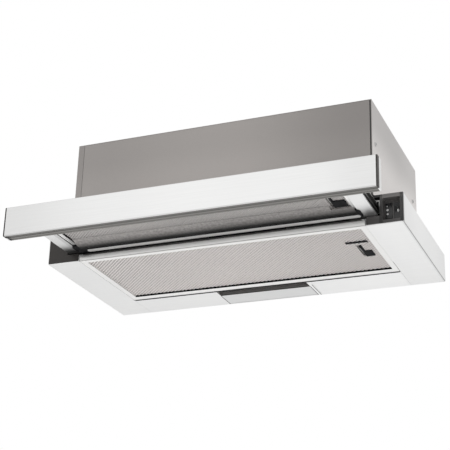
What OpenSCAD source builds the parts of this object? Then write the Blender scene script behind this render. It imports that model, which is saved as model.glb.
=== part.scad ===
// Pull-out cooker hood, shown with the drawer pulled right out.
// +X is to the right as seen from the front, +Y is towards the wall, +Z is up.
// The origin is the middle of the four cabinet screw holes, on the top face of the deck.

/* [Lower housing] */
// Width over the two side covers
lower_w = 598; // [580:1:900]
// Depth from the front of the corner caps to the rear face
lower_d = 275; // [270:1:300]
// Height from the underside up to the deck that meets the cabinet
lower_h = 47.5; // [47:0.5:60]
// Thickness of the folded steel sheet
sheet = 1; // [0.8:0.1:1.2]
// Width of the underside of each side cover
side_box_w = 58; // [57:1:66]
// Outside radius of a folded edge
fold_r = 2.5; // [1.5:0.5:4]
// Depth of the rear strip that holds the lamp
strip_d = 68.5; // [62:0.5:74]
// Distance of the cabinet screw holes from the housing's sides
cabinet_hole_in = 21; // [14:0.5:26]
// Spacing of the cabinet screw holes from front to rear
cabinet_hole_y = 180; // [120:1:200]
// Radius of each cabinet screw hole
cabinet_hole_r = 2.4; // [1.8:0.1:3]

/* [Upper casing] */
// How far each side of the casing stands in from the lower housing's side
casing_in = 44; // [36:0.5:59]
// Height of the casing above the deck
casing_h = 160.5; // [160:0.5:200]
// How far the casing stands ahead of the lower housing
casing_lead = 5; // [0:0.5:8]
// How far the casing stops short of the lower housing's rear face
casing_back = 3; // [0:0.5:10]
// Width of the wide folded return beside the front panel
return_w = 10.5; // [8:0.5:20]
// Gap between the front panel's right edge and the casing's side
edge_gap = 2.2; // [1:0.1:3]
// Depth of the side flanges of the front and rear panels
flange_d = 34; // [32:1:40]
// Height of the side screws above the deck
side_screw_z = 91; // [40:1:120]
// Distance of the front side screws from the casing's front
side_screw_front = 18; // [12:0.5:24]
// Distance of the rear side screws from the casing's rear
side_screw_rear = 28; // [14:0.5:28]

/* [Drawer] */
// Travel of the drawer from shut to pulled out
travel = 119.5; // [90:0.5:122]
// How far each end of the front profile stops short of the lower housing's side
front_short = 0.5; // [0:0.5:9]
// Height of the front profile
front_h = 48; // [46:0.5:60]
// Depth of the front profile from front to back
front_t = 20; // [16:0.5:26]
// How far the front profile hangs below the housing's underside
front_drop = 2.5; // [0:0.5:6]
// Wall of the extruded front profile
profile_wall = 1.6; // [1.2:0.1:2.2]
// Thickness of the end caps of the front profile
cap_t = 2.2; // [1.5:0.1:3]
// Depth of the dark end caps from front to back
cap_d = 9; // [7:0.5:12]
// Wall of the drawer's side members
member_t = 1.4; // [1.2:0.1:1.6]
// Height of the drawer's side members
member_h = 25.4; // [25:0.1:27]
// Width of the underside of each side member
member_w = 22.5; // [21:0.5:23]
// Width of the bright bar across the rear of the drawer
bar_d = 9.5; // [8:0.5:11]
// Gap between the drawer's filter and the side cover's edge
drawer_clear = 5; // [4:0.5:7]

/* [Slides] */
// Length of each slide rail
rail_len = 230; // [228:1:240]
// Height of each slide rail
rail_h = 22; // [21:0.5:23]
// Depth of a slide, from the drawer's member to the housing's bracket
rail_d = 11; // [10.8:0.1:12]
// Wall of the rails
rail_t = 1.2; // [1:0.1:1.4]
// Radius of the balls in the slides
ball_r = 2; // [1.8:0.1:2.1]
// Number of balls in a row
ball_count = 5; // [3:1:7]
// Spacing of the balls
ball_pitch = 20; // [12:1:22]

/* [Grease filters] */
// Thickness of both filters
filter_t = 9.5; // [8.8:0.1:10]
// Width of the folded border at the front and sides of the fixed filter
border_w = 9; // [7:0.5:12]
// Width of the folded border at the rear of the fixed filter
border_rear = 14; // [9:0.5:18]
// Width of the folded border round the drawer's filter
drawer_border = 4; // [3.5:0.5:7]
// Wall of the folded border
border_t = 0.9; // [0.7:0.1:1.1]
// Height of the mesh above the filter's underside
mesh_rise = 3.9; // [3.7:0.1:4.2]
// Depth of the drawer's filter
drawer_filter_d = 85; // [80:0.5:90]
// Gap between the fixed filter and the side cover's edge
filter_gap = 1; // [0.6:0.1:4]
// Width of the diagonal ridges of the mesh
strand_w = 1.6; // [1:0.1:2]
// Spacing of the diagonal ridges of the mesh
strand_pitch = 14; // [10:1:30]
// How far a latch is drawn to free its filter
latch_travel = 4; // [3:0.5:4.5]
// Length of a latch knob from front to rear
latch_len = 46; // [40:1:50]
// Width of a latch knob
latch_w = 14; // [12:0.5:16]
// Width of the narrow front half of a latch knob
latch_bar = 3.5; // [3:0.5:5]

/* [Blower] */
// Outside radius of the impeller
impeller_r = 58; // [50:0.5:58]
// Inside radius of the ring of blades
eye_r = 46; // [42:0.5:48]
// Half of the impeller's width
impeller_half = 42; // [34:0.5:44]
// Number of blades
blade_count = 36; // [24:1:40]
// Thickness of a blade
blade_t = 1; // [0.8:0.1:1.4]
// Gap between the impeller and the tightest part of the scroll
scroll_gap = 6; // [5:0.5:7]
// Growth of the scroll over its turn
scroll_growth = 32; // [24:0.5:32]
// Half of the scroll's inside width
scroll_half = 48; // [46:0.5:48]
// Wall of the scroll
scroll_t = 2; // [1.5:0.1:2.2]
// Distance of the impeller's axle from the casing's front
axle_front = 105; // [90:1:125]
// Radius of the motor shaft
shaft_r = 4; // [3:0.5:5]
// Radius of the motor's laminated stack
motor_r = 36; // [30:0.5:37]

/* [Outlet] */
// Inside radius of the outlet collar
collar_in_r = 58; // [56:0.5:62]
// Outside radius of the outlet collar
collar_r = 60; // [58:0.5:64]
// Height of the collar above the casing
collar_h = 38; // [30:1:60]
// Thickness of the collar's flange
collar_flange_t = 2.5; // [2:0.1:4]
// Radius of the flap pin
pin_r = 1.5; // [1.2:0.1:2]
// Thickness of the non-return flaps
flap_t = 1.2; // [1:0.1:1.6]

/* [Lamp] */
// Width of the lamp cover
lamp_w = 163; // [150:1:260]
// Offset of the lamp to the right of the middle
lamp_x = -3.5; // [-20:0.5:20]
// Depth of the lamp cover from front to rear
lamp_d = 43.5; // [40:0.5:46]
// Width of the finger slot ahead of the lamp cover
lamp_slot = 13; // [10:0.5:13]
// Radius of the lamp bulb
bulb_r = 16; // [12:0.5:17]

/* [Controls] */
// Width of the switch recess
recess_w = 26.4; // [25.5:0.1:27]
// Height of the switch recess
recess_h = 35; // [32:0.5:36]
// Depth of the switch recess
recess_d = 12; // [8:0.5:16]
// Width of a rocker
rocker_w = 10.4; // [9:0.1:11]
// Height of a rocker
rocker_h = 24.6; // [20:0.2:26]
// Spacing of the two rockers
rocker_pitch = 13; // [12.4:0.1:13.2]
// Tilt of a rocker to either side
rocker_tilt = 8; // [5:1:10]
// Radius of the cable passage in the gland
gland_bore_r = 3.7; // [3:0.1:4.5]

/* [Hidden] */
$fn = 48;

// Small clearances that many pieces share
seat = 0.3;
touch = 0.1;
big = 1000;

// Levels of the lower housing
half_w = lower_w / 2;
cabinet_hole_x = half_w - cabinet_hole_in;
front_y = -lower_d / 2;
rear_y = lower_d / 2;
under_z = -lower_h;
cover_in_x = half_w - side_box_w;
strip_y = rear_y - strip_d;

// Levels of the fixed filter and its ledge
filter_half = cover_in_x - filter_gap;
drawer_half = cover_in_x - drawer_clear;
filter_z = under_z + seat;
filter_y0 = front_y + 1.5;
filter_y1 = strip_y - 2;
mesh_t = filter_t - border_t - mesh_rise - touch;
ledge_z = filter_z + filter_t + seat;
ledge_w = filter_gap + 5;

// Levels of the drawer, which runs above the ledge
drawer_gap = 1.9;
bar_drop = 1.4;
bar_z = ledge_z + sheet + drawer_gap;
member_z = bar_z + bar_drop;
shut_gap = 0.5;
drawer_back_y = front_y - travel - shut_gap;
member_in_x = drawer_half + 1;
member_out_x = member_in_x + member_w;
web_x = member_in_x + 13;
web_out_x = web_x + member_t;
end_plate_t = 1.5;
angle_t = 1.2;
angle_leaf = 12;
dfilter_z = member_z + 1.2;
dfilter_y0 = drawer_back_y + angle_t + 1.3;
dfilter_y1 = dfilter_y0 + drawer_filter_d;
trim_y0 = dfilter_y1 + 0.8;
trim_lead = 19;
bar_y0 = trim_y0 + trim_lead;
bar_y1 = bar_y0 + bar_d;
trim_edge = 2;
trim_y1 = bar_y1 + trim_edge;
trim_z = bar_z + 0.4;
trim_h = dfilter_z + filter_t + seat + angle_t - trim_z;
trim_wing = 3.5;
trim_r = 8;
bar_h = 3.4;
bar_right = drawer_half;
bar_left = drawer_half - 14.5;
front_half = half_w - front_short;

// Levels of the slides
rail_z = member_z + 14.4;
rail_out_x = web_out_x + rail_d;
rail_y0 = front_y + 3;
ball_u = 5.2;
ball_v = rail_h / 2 - rail_t - ball_r - touch - 0.1;
inner_rail_v = ball_v - ball_r + 0.5;
cage_len = ball_pitch * (ball_count - 1) + 16;
cage_mid_y = rail_y0 + rail_len / 2 - travel / 2;
cage_t = 1;
bracket_x = rail_out_x;
bracket_y1 = rear_y - 30;
bracket_flange = 11;

// Levels of the corner caps
cap_clear = 0.8;
cap_bar_z1 = member_z - cap_clear;
cap_in_x = cover_in_x + sheet + seat;
cap_box_x = bracket_x + sheet + seat;
cap_out_x = half_w - sheet - seat;
cap_z0 = under_z + sheet + seat;
cap_z1 = -sheet - seat;
cap_depth = 16;
cap_wall = 1.8;
recess_x = (cap_box_x + cap_out_x) / 2;
recess_z = (cap_z0 + cap_z1) / 2;
floor_t = 1.5;
floor_y = front_y + recess_d;
pivot_y = floor_y + floor_t + 3;
rocker_play = 0.25;
rocker_open_h = rocker_h + 1.8;
rocker_front = 6.5;
rocker_rear = 3;
rocker_pin_r = 1.2;
switch_wall = 0.7;
switch_d = 22;

// Levels of the upper casing
casing_half = half_w - casing_in;
casing_y0 = front_y - casing_lead;
casing_y1 = rear_y - casing_back;
roof_z = casing_h - sheet;
deck_flange = 14;
panel_seam = 0.6;
panel_lip = 14;
joggle = 6;
deck_open_edge = 26;
screw_r = 1.9;
head_r = 3.6;
head_h = 1.8;

// Levels of the blower
scroll_r0 = impeller_r + scroll_gap;
scroll_r1 = scroll_r0 + scroll_growth;
cutoff = 60;
function scroll_r(a) = scroll_r0 + scroll_growth * (a - cutoff) / (360 - cutoff);
axle_y = casing_y0 + axle_front;
axle_z = roof_z - scroll_r(90) - scroll_t - 0.8;
duct_y0 = axle_y + scroll_r0 * cos(cutoff);
duct_y1 = axle_y + scroll_r1;
outlet_y = (duct_y0 + duct_y1) / 2;
inlet_r = eye_r + 1;
lip_w = 10;
lug_r = 4.5;
lug_angles = [130, 180, 235, 300];
motor_x0 = 16;
motor_len = 56;
motor_x1 = motor_x0 + motor_len;
motor_step = 4;
stack_front = 15;
stack_back = 18;
bearing_r = 9;
hub_r = 9;
hub_half = 13;
bracket_r = inlet_r + 16;
bracket_arm_w = 9;
bracket_plate = 2.5;

// Levels of the outlet
ledge_up = 10;
ledge_t = 1.5;
ledge_in = 3;
flap_z = casing_h + ledge_up + ledge_t + seat;
knuckle_r = pin_r + 1.3;
pin_play = 0.06;
pin_z = flap_z + knuckle_r - 0.4;
flap_r = collar_in_r - 1.6;
flap_split = 3.2;
knuckle_len = 22;
knuckle_gap = 2;
collar_flange_r = collar_r + 12;
collar_screw_r = collar_r + 6;

// Levels of the lamp
lamp_y0 = rear_y - lamp_d - 2.5;
lamp_y1 = rear_y - 2.5;
tray_wall = 0.8;
tray_z = -sheet - 6;
slot_y0 = lamp_y0 - lamp_slot;
scoop_y0 = strip_y + sheet + 0.3;
scoop_rise = 3.2;
tray_y0 = slot_y0;
tray_y1 = rear_y - sheet - seat;
tray_half = lamp_w / 2 + 4;
lamp_pin_r = 1.1;
cover_skin = 2;
cover_play = 0.4;
lamp_pin_y = lamp_y1 - 5;
lamp_pin_up = 3;
lamp_pin_z = under_z + lamp_pin_up;
cover_reach = lamp_y1 - cover_play - lamp_pin_y;
bulb_y = (lamp_y0 + lamp_y1) / 2 - 0.5;
bulb_z = under_z + 22.5;
socket_r = 14;
socket_len = 34;
bulb_len = 80;
cap_screw_r = 7;
tip_r = 5;

// A block between two corners
module block(x0, x1, y0, y1, z0, z1) {
    translate([x0, y0, z0]) cube([x1 - x0, y1 - y0, z1 - z0]);
}

// A block that spans the middle
module span_block(half, y0, y1, z0, z1) {
    block(-half, half, y0, y1, z0, z1);
}

// An outline in X and Z, drawn out along Y
module along_y(y0, y1) {
    translate([0, y1, 0]) rotate([90, 0, 0]) linear_extrude(height = y1 - y0) children();
}

// An outline in Y and Z, drawn out along X
module along_x(x0, x1) {
    translate([x0, 0, 0]) rotate([90, 0, 90]) linear_extrude(height = x1 - x0) children();
}

// A rectangle between two corners
module rect(x0, x1, y0, y1) {
    translate([x0, y0]) square([x1 - x0, y1 - y0]);
}

// A rectangle with round corners
module round_rect(x0, x1, y0, y1, r) {
    rect(x0 + r, x1 - r, y0, y1);
    rect(x0, x1, y0 + r, y1 - r);
    for (x = [x0 + r, x1 - r], y = [y0 + r, y1 - r]) translate([x, y]) circle(r);
}

// A rod along X, Y or Z
module rod_x(x0, x1, y, z, r) {
    translate([x0, y, z]) rotate([0, 90, 0]) cylinder(h = x1 - x0, r = r);
}
module rod_y(x, y0, y1, z, r) {
    translate([x, y1, z]) rotate([90, 0, 0]) cylinder(h = y1 - y0, r = r);
}
module rod_z(x, y, z0, z1, r) {
    translate([x, y, z0]) cylinder(h = z1 - z0, r = r);
}

// The same piece on both sides, or on the left side only
module left_side() {
    mirror([1, 0, 0]) children();
}
module both_sides() {
    children();
    mirror([1, 0, 0]) children();
}

// A pan-head screw whose head lies on the plane at z = 0 and whose shank goes down
module screw(shank) {
    difference() {
        union() {
            cylinder(h = head_h, r1 = head_r, r2 = head_r - 0.8);
            translate([0, 0, -shank]) cylinder(h = shank, r = screw_r);
        }
        translate([0, 0, head_h - 0.8]) {
            cube([head_r * 1.2, 0.9, 2], center = true);
            cube([0.9, head_r * 1.2, 2], center = true);
        }
    }
}

// Lower housing

module lower_shell() {
    color("gainsboro") difference() {
        union() {
            span_block(half_w - sheet, front_y, rear_y, -sheet, 0);
            span_block(half_w - sheet, rear_y - sheet, rear_y, under_z + sheet, 0);
            span_block(cap_box_x, front_y, front_y + sheet, -sheet - 3, 0);
        }
        span_block(casing_half - deck_open_edge, casing_y0 + deck_open_edge + casing_lead,
            casing_y1 - deck_open_edge, -big, big);
        for (x = [-1, 1] * cabinet_hole_x, y = [-1, 1] * cabinet_hole_y / 2)
            rod_z(x, y, -sheet - 1, 1, cabinet_hole_r);
    }
}

// The folded outline of the right side cover
module cover_outline() {
    difference() {
        union() {
            rect(cover_in_x, half_w - fold_r, under_z, 0);
            rect(cover_in_x, half_w, under_z + fold_r, 0);
            translate([half_w - fold_r, under_z + fold_r]) circle(fold_r);
        }
        difference() {
            rect(cover_in_x + sheet, half_w - sheet, under_z + sheet, 1);
            difference() {
                rect(half_w - fold_r, half_w, under_z, under_z + fold_r);
                translate([half_w - fold_r, under_z + fold_r]) circle(fold_r - sheet);
            }
        }
        rect(cover_in_x - 1, cover_in_x + 2 * sheet, ledge_z + sheet, 1);
    }
    rect(cover_in_x - ledge_w, cover_in_x + sheet, ledge_z, ledge_z + sheet);
}

// Openings in an upright at x0 to x1 that take a filter's two tabs
tab_w = 18;
tab_play = 0.4;
tab_t = 1.6;
tab_reach = 7;
module tab_slots(x0, x1, y0, y1, z) {
    for (y = tab_ys(y0, y1))
        block(x0, x1, y - tab_w / 2 - tab_play, y + tab_w / 2 + tab_play,
            z + mesh_rise - tab_play, z + mesh_rise + tab_t + tab_play);
}
function tab_ys(y0, y1) = [y0 + (y1 - y0) / 4, y1 - (y1 - y0) / 4];

// The opening that takes a latch tongue
tongue_w = 12;
tongue_t = 1.6;
tongue_play = 0.4;
module tongue_slot(x0, x1, y, z) {
    block(x0, x1, y - tongue_w / 2 - tongue_play, y + tongue_w / 2 + tongue_play,
        z + mesh_rise - tongue_play, z + mesh_rise + tongue_t + tongue_play);
}

module side_cover_right() {
    color("whitesmoke") difference() {
        along_y(front_y, rear_y) cover_outline();
        block(cover_in_x - big, half_w - sheet, rear_y - sheet, rear_y + 1, under_z + sheet, 1);
        block(cover_in_x - ledge_w - 1, cover_in_x, strip_y - 1, rear_y + 1, under_z, 1);
        tongue_slot(cover_in_x - 1, cover_in_x + sheet + 1, latch_y, filter_z);
    }
}

module side_cover_left() {
    color("whitesmoke") difference() {
        left_side() along_y(front_y, rear_y) cover_outline();
        block(sheet - half_w, big - cover_in_x, rear_y - sheet, rear_y + 1, under_z + sheet, 1);
        block(-cover_in_x, ledge_w + 1 - cover_in_x, strip_y - 1, rear_y + 1, under_z, 1);
        tab_slots(-cover_in_x - sheet - 1, 1 - cover_in_x, filter_y0, filter_y1, filter_z);
    }
}

module rear_strip() {
    strip_half = cover_in_x - seat;
    color("whitesmoke") difference() {
        union() {
            span_block(strip_half, strip_y, rear_y, under_z, under_z + sheet);
            span_block(strip_half, strip_y, strip_y + sheet, under_z, ledge_z + sheet);
            both_sides() block(strip_half - sheet, strip_half, strip_y,
                rear_y - sheet - seat, under_z, ledge_z);
        }
        block(lamp_x - lamp_w / 2, lamp_x + lamp_w / 2, scoop_y0, lamp_y1,
            under_z - 1, under_z + sheet + 1);
        block(lamp_x + lamp_w / 2 + end_line, lamp_x + lamp_w / 2 + end_line + 1, slot_y0, lamp_y1,
            under_z - 1, under_z + sheet / 2);
    }
    color("whitesmoke") {
        along_x(lamp_x - lamp_w / 2 - sheet, lamp_x + lamp_w / 2 + sheet) scoop_section(0);
        for (x = [lamp_x - lamp_w / 2 - sheet, lamp_x + lamp_w / 2])
            along_x(x, x + sheet) scoop_section(scoop_rise + sheet);
    }
}

// The sloping lip that leads a finger into the slot, or its closed end when filled below
end_line = 7;
module scoop_section(fill) {
    intersection() {
        polygon([[scoop_y0 - sheet / 2, under_z - fill], [slot_y0, under_z + scoop_rise - fill],
            [slot_y0, under_z + scoop_rise + sheet], [scoop_y0 - sheet / 2, under_z + sheet]]);
        rect(scoop_y0 - sheet, slot_y0 + sheet, under_z, under_z + lower_h);
    }
}

module rail_bracket_right() {
    y0 = front_y + cap_depth + seat;
    color("silver") difference() {
        union() {
            block(bracket_x, bracket_x + sheet, y0, bracket_y1, under_z + sheet, -sheet);
            block(bracket_x, bracket_x + sheet, rail_y0, y0, cap_bar_z1 + seat, -sheet);
            for (z = [under_z + sheet, -2 * sheet])
                block(bracket_x, bracket_x + bracket_flange, y0, bracket_y1, z, z + sheet);
        }
        for (y = rail_screw_ys()) rod_x(bracket_x - 1, bracket_x + sheet + 1, y, rail_z, screw_r + touch);
    }
}

module rail_bracket_left() {
    left_side() rail_bracket_right();
}

// The L-shaped face of a corner cap, clear of the drawer's side member
module cap_outline(inset) {
    r = max(fold_r - sheet - seat, touch);
    rect(cap_in_x + inset, cap_out_x - inset - r, cap_z0 + inset, cap_bar_z1 - inset);
    rect(cap_box_x + inset, cap_out_x - inset, cap_z0 + inset + r, cap_z1 - inset);
    translate([cap_out_x - inset - r, cap_z0 + inset + r]) circle(r);
}

module cap_shell() {
    difference() {
        along_y(front_y, front_y + cap_depth) cap_outline(0);
        along_y(front_y + cap_wall, front_y + cap_depth + 1) cap_outline(cap_wall);
    }
}

module corner_cap_left() {
    color("dimgray") left_side() cap_shell();
}

function rocker_x(i) = recess_x + i * rocker_pitch / 2;

module control_bezel() {
    x0 = recess_x - recess_w / 2;
    x1 = recess_x + recess_w / 2;
    z0 = recess_z - recess_h / 2;
    z1 = recess_z + recess_h / 2;
    color("dimgray") difference() {
        union() {
            cap_shell();
            along_y(front_y, floor_y + floor_t)
                rect(x0 - cap_wall, x1 + cap_wall, z0 - cap_wall, z1 + cap_wall);
        }
        along_y(front_y - 1, floor_y) round_rect(x0, x1, z0, z1, 1.5);
        for (i = [-1, 1])
            block(rocker_x(i) - rocker_w / 2 - rocker_play, rocker_x(i) + rocker_w / 2 + rocker_play,
                floor_y - 1, floor_y + floor_t + 1,
                recess_z - rocker_open_h / 2, recess_z + rocker_open_h / 2);
    }
}

// Switches

// Side view of a rocker about its own pivot: a shallow dish in front, flat behind
module rocker_side() {
    difference() {
        rect(-rocker_front, rocker_rear, -rocker_h / 2, rocker_h / 2);
        translate([-rocker_front - 38, 0]) circle(40, $fn = 96);
    }
}

module rocker(i, tilt) {
    translate([rocker_x(i), pivot_y, recess_z]) rotate([tilt, 0, 0]) {
        along_x(-rocker_w / 2, rocker_w / 2) rocker_side();
        rod_x(-rocker_w / 2 - 0.8, rocker_w / 2 + 0.8, 0, 0, rocker_pin_r);
    }
}

module fan_rocker() {
    color("black") rocker(-1, 0);
}

module light_rocker() {
    color("black") rocker(1, rocker_tilt);
}

module switch_bodies() {
    color("darkslategray") for (i = [-1, 1]) {
        half = rocker_w / 2 + rocker_play + switch_wall;
        difference() {
            translate([rocker_x(i), 0, recess_z])
                block(-half, half, floor_y + floor_t, floor_y + floor_t + switch_d,
                    -rocker_open_h / 2 - 1.5, rocker_open_h / 2 + 1.5);
            translate([rocker_x(i), 0, recess_z])
                block(switch_wall - half, half - switch_wall, floor_y, pivot_y + rocker_rear + 2.6,
                    -rocker_open_h / 2, rocker_open_h / 2);
            rod_x(rocker_x(i) - half - 1, rocker_x(i) + half + 1, pivot_y, recess_z,
                rocker_pin_r + 0.05);
        }
    }
}

// Upper casing

module casing_shell() {
    inner = casing_half - sheet;
    color("silver") difference() {
        union() {
            span_block(casing_half, casing_y0, casing_y1, roof_z, casing_h);
            both_sides() {
                block(inner, casing_half, casing_y0, casing_y1, 0, casing_h);
                block(casing_half - deck_flange, casing_half, front_y + flange_d + 4,
                    casing_y1 - flange_d - 4, 0, sheet);
            }
            block(-casing_half, return_w - casing_half, casing_y0, casing_y0 + sheet, 0, casing_h);
            block(casing_half - return_w, casing_half, casing_y1 - sheet, casing_y1, 0, casing_h);
        }
        span_block(scroll_half, duct_y0, duct_y1, roof_z - 1, casing_h + 1);
        rod_z(gland_x, gland_y, roof_z - 1, casing_h + 1, gland_r + touch);
        for (a = [45:90:315])
            rod_z(collar_screw_r * cos(a), outlet_y + collar_screw_r * sin(a),
                roof_z - 1, casing_h + 1, screw_r + touch);
        both_sides() for (y = side_screw_ys())
            rod_x(inner - 1, casing_half + 1, y, side_screw_z, screw_r + touch);
    }
}

function side_screw_ys() = [casing_y0 + side_screw_front, casing_y1 - side_screw_rear];

// A panel that is flush beside the casing's wide return and joggled back behind it.
// Its side flanges lie inside the casing's side walls. It is drawn facing -Y at y = 0.
module casing_panel() {
    x = casing_half - sheet - touch;
    left_x = casing_half - return_w - panel_seam;
    right_x = casing_half - sheet - edge_gap;
    z0 = seat;
    z1 = roof_z - seat;
    union() {
        block(-left_x, right_x, 0, sheet, z0, z1);
        both_sides() block(x - sheet, x, sheet, flange_d, z0, z1);
        block(-x, joggle - left_x, sheet, 2 * sheet, z0, z1);
        block(right_x - joggle, x, sheet, 2 * sheet, z0, z1);
        block(joggle - left_x, right_x - joggle, 0, panel_lip, z0, z0 + sheet);
    }
}

// A panel set in place, with the holes for the side screws at the given distance
module placed_panel(y, turn) {
    x = casing_half - sheet - touch;
    difference() {
        translate([0, y, 0]) rotate([0, 0, turn]) casing_panel();
        both_sides() for (ys = side_screw_ys())
            rod_x(x - sheet - 1, x + 1, ys, side_screw_z, screw_r + touch);
    }
}

module casing_front() {
    color("silver") placed_panel(casing_y0, 0);
}

module casing_rear() {
    color("silver") placed_panel(casing_y1, 180);
}

module casing_screws() {
    color("dimgray") {
        both_sides() for (y = side_screw_ys())
            translate([casing_half, y, side_screw_z]) rotate([0, 90, 0]) screw(6);
        for (a = [45:90:315])
            translate([collar_screw_r * cos(a), outlet_y + collar_screw_r * sin(a),
                casing_h + collar_flange_t]) screw(collar_flange_t + 2);
    }
}

// Outlet with non-return flaps

module outlet_collar() {
    color("dimgray") difference() {
        translate([0, outlet_y, casing_h]) rotate_extrude() {
            rect(collar_in_r, collar_flange_r, 0, collar_flange_t);
            rect(collar_in_r, collar_r, 0, collar_h);
            rect(collar_in_r - ledge_in, collar_in_r + 0.5, ledge_up, ledge_up + ledge_t);
        }
        rod_x(-big, big, outlet_y, pin_z, pin_r + pin_play);
        for (a = [45:90:315])
            rod_z(collar_screw_r * cos(a), outlet_y + collar_screw_r * sin(a),
                casing_h - 1, casing_h + collar_flange_t + 1, screw_r + touch);
    }
}

module flap_pin() {
    color("silver") rod_x(touch - collar_r, collar_r - touch, outlet_y, pin_z, pin_r);
}

// A half disc with two knuckles; the other flap's knuckles fill the gaps
module flap() {
    starts = [-2 * knuckle_len - 1.5 * knuckle_gap, knuckle_gap / 2];
    difference() {
        union() {
            difference() {
                rod_z(0, 0, flap_z, flap_z + flap_t, flap_r);
                span_block(big, -flap_split, big, flap_z - 1, flap_z + flap_t + 1);
            }
            for (x = starts) {
                rod_x(x, x + knuckle_len, 0, pin_z, knuckle_r);
                block(x, x + knuckle_len, -flap_split - 1, -1, flap_z, flap_z + flap_t);
            }
        }
        rod_x(-big, big, 0, pin_z, pin_r + pin_play);
    }
}

module flap_front() {
    color("gray") translate([0, outlet_y, 0]) flap();
}

module flap_rear() {
    color("gray") translate([0, outlet_y, 0]) rotate([0, 0, 180]) flap();
}

// Blower

// Inside of the scroll, or its outside when grown by the wall
module scroll_area(grow) {
    translate([axle_y, axle_z]) polygon([for (a = [cutoff:6:360])
        (scroll_r(a) + grow) * [cos(a), sin(a)]]);
    rect(duct_y0 - grow, duct_y1 + grow, axle_z, roof_z);
}

// The right half of the scroll, with holes for the motor bracket if asked for
module scroll_shell(motor_holes) {
    difference() {
        union() {
            along_x(0, scroll_half + scroll_t) scroll_area(scroll_t);
            block(0, scroll_half + scroll_t + lip_w, duct_y0 - scroll_t - lip_w,
                duct_y1 + scroll_t + lip_w, roof_z - scroll_t, roof_z);
            along_x(scroll_half + scroll_t, scroll_half + scroll_t + 3)
                translate([axle_y, axle_z]) circle(inlet_r + 3, $fn = 96);
            for (a = lug_angles) rod_x(0, 8, lug_y(a), lug_z(a), lug_r);
        }
        along_x(-1, scroll_half) scroll_area(0);
        block(-1, scroll_half, duct_y0, duct_y1, roof_z - 5, roof_z + 1);
        rod_x(0, big, axle_y, axle_z, inlet_r, $fn = 96);
        for (a = lug_angles) rod_x(-1, 9, lug_y(a), lug_z(a), screw_r + touch);
        if (motor_holes) for (a = arm_angles)
            rod_x(scroll_half - 1, scroll_half + scroll_t + 1, arm_y(a), arm_z(a), screw_r + touch);
        for (y = lip_screw_ys())
            rod_z(scroll_half + scroll_t + lip_w / 2, y, roof_z - scroll_t - 1, roof_z + 1,
                screw_r + touch);
    }
}

module scroll_right() {
    color("dimgray") scroll_shell(true);
}

module scroll_left() {
    color("dimgray") left_side() scroll_shell(false);
}

function lug_y(a) = axle_y + (scroll_r(a) + scroll_t + lug_r - seat) * cos(a);
function lug_z(a) = axle_z + (scroll_r(a) + scroll_t + lug_r - seat) * sin(a);
function lip_screw_ys() = [duct_y0 + 8, duct_y1 - 8];
arm_angles = [90, 210, 330];
function arm_y(a) = axle_y + bracket_r * cos(a);
function arm_z(a) = axle_z + bracket_r * sin(a);

module scroll_screws() {
    color("silver") {
        for (a = lug_angles) translate([8, lug_y(a), lug_z(a)]) rotate([0, 90, 0]) screw(16);
        both_sides() for (y = lip_screw_ys())
            translate([scroll_half + scroll_t + lip_w / 2, y, roof_z - scroll_t])
                rotate([180, 0, 0]) screw(scroll_t);
        for (a = arm_angles)
            translate([scroll_half + scroll_t + bracket_plate, arm_y(a), arm_z(a)])
                rotate([0, 90, 0]) screw(bracket_plate + scroll_t);
    }
}

// One forward-curved blade, as an arc that leans across the ring of blades
blade_bend = 16;
module blade_section() {
    intersection() {
        difference() {
            circle(impeller_r - 0.2, $fn = 96);
            circle(eye_r + 0.2, $fn = 96);
        }
        translate([(impeller_r + eye_r) / 2 - 4, blade_bend - 2]) difference() {
            circle(blade_bend + blade_t / 2, $fn = 64);
            circle(blade_bend - blade_t / 2, $fn = 64);
            translate([-big / 2, 0]) square([big, big]);
            translate([-big, -big / 2]) square([big - blade_bend * 0.35, big]);
        }
    }
}

module impeller() {
    color("dimgray") translate([0, axle_y, axle_z]) difference() {
        union() {
            along_x(-impeller_half, impeller_half)
                for (i = [0:blade_count - 1]) rotate(i * 360 / blade_count) blade_section();
            for (x = [-impeller_half, impeller_half - 2]) along_x(x, x + 2) difference() {
                circle(impeller_r, $fn = 96);
                circle(eye_r, $fn = 96);
            }
            along_x(-1.2, 1.2) circle(impeller_r, $fn = 96);
            along_x(-hub_half, hub_half - 3) circle(hub_r);
        }
        rod_x(-big, big, 0, 0, shaft_r + 0.02);
    }
}

module motor_shaft() {
    color("silver") rod_x(-hub_half - 3, motor_x1 + 4, axle_y, axle_z, shaft_r);
}

module motor() {
    end_r = motor_r - motor_step;
    color("goldenrod") translate([motor_x0, axle_y, axle_z]) rotate([0, 90, 0]) rotate_extrude($fn = 96)
        polygon([
            [shaft_r + 0.05, 0], [bearing_r, 0], [bearing_r, 4], [end_r - 6, 6], [end_r, stack_front - 3],
            [end_r, stack_front], [motor_r, stack_front], [motor_r, motor_len - stack_back],
            [end_r, motor_len - stack_back],
            [end_r, motor_len - 10], [end_r - 8, motor_len - 4], [bearing_r, motor_len - 4],
            [bearing_r, motor_len], [shaft_r + 0.05, motor_len]]);
}

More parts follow.
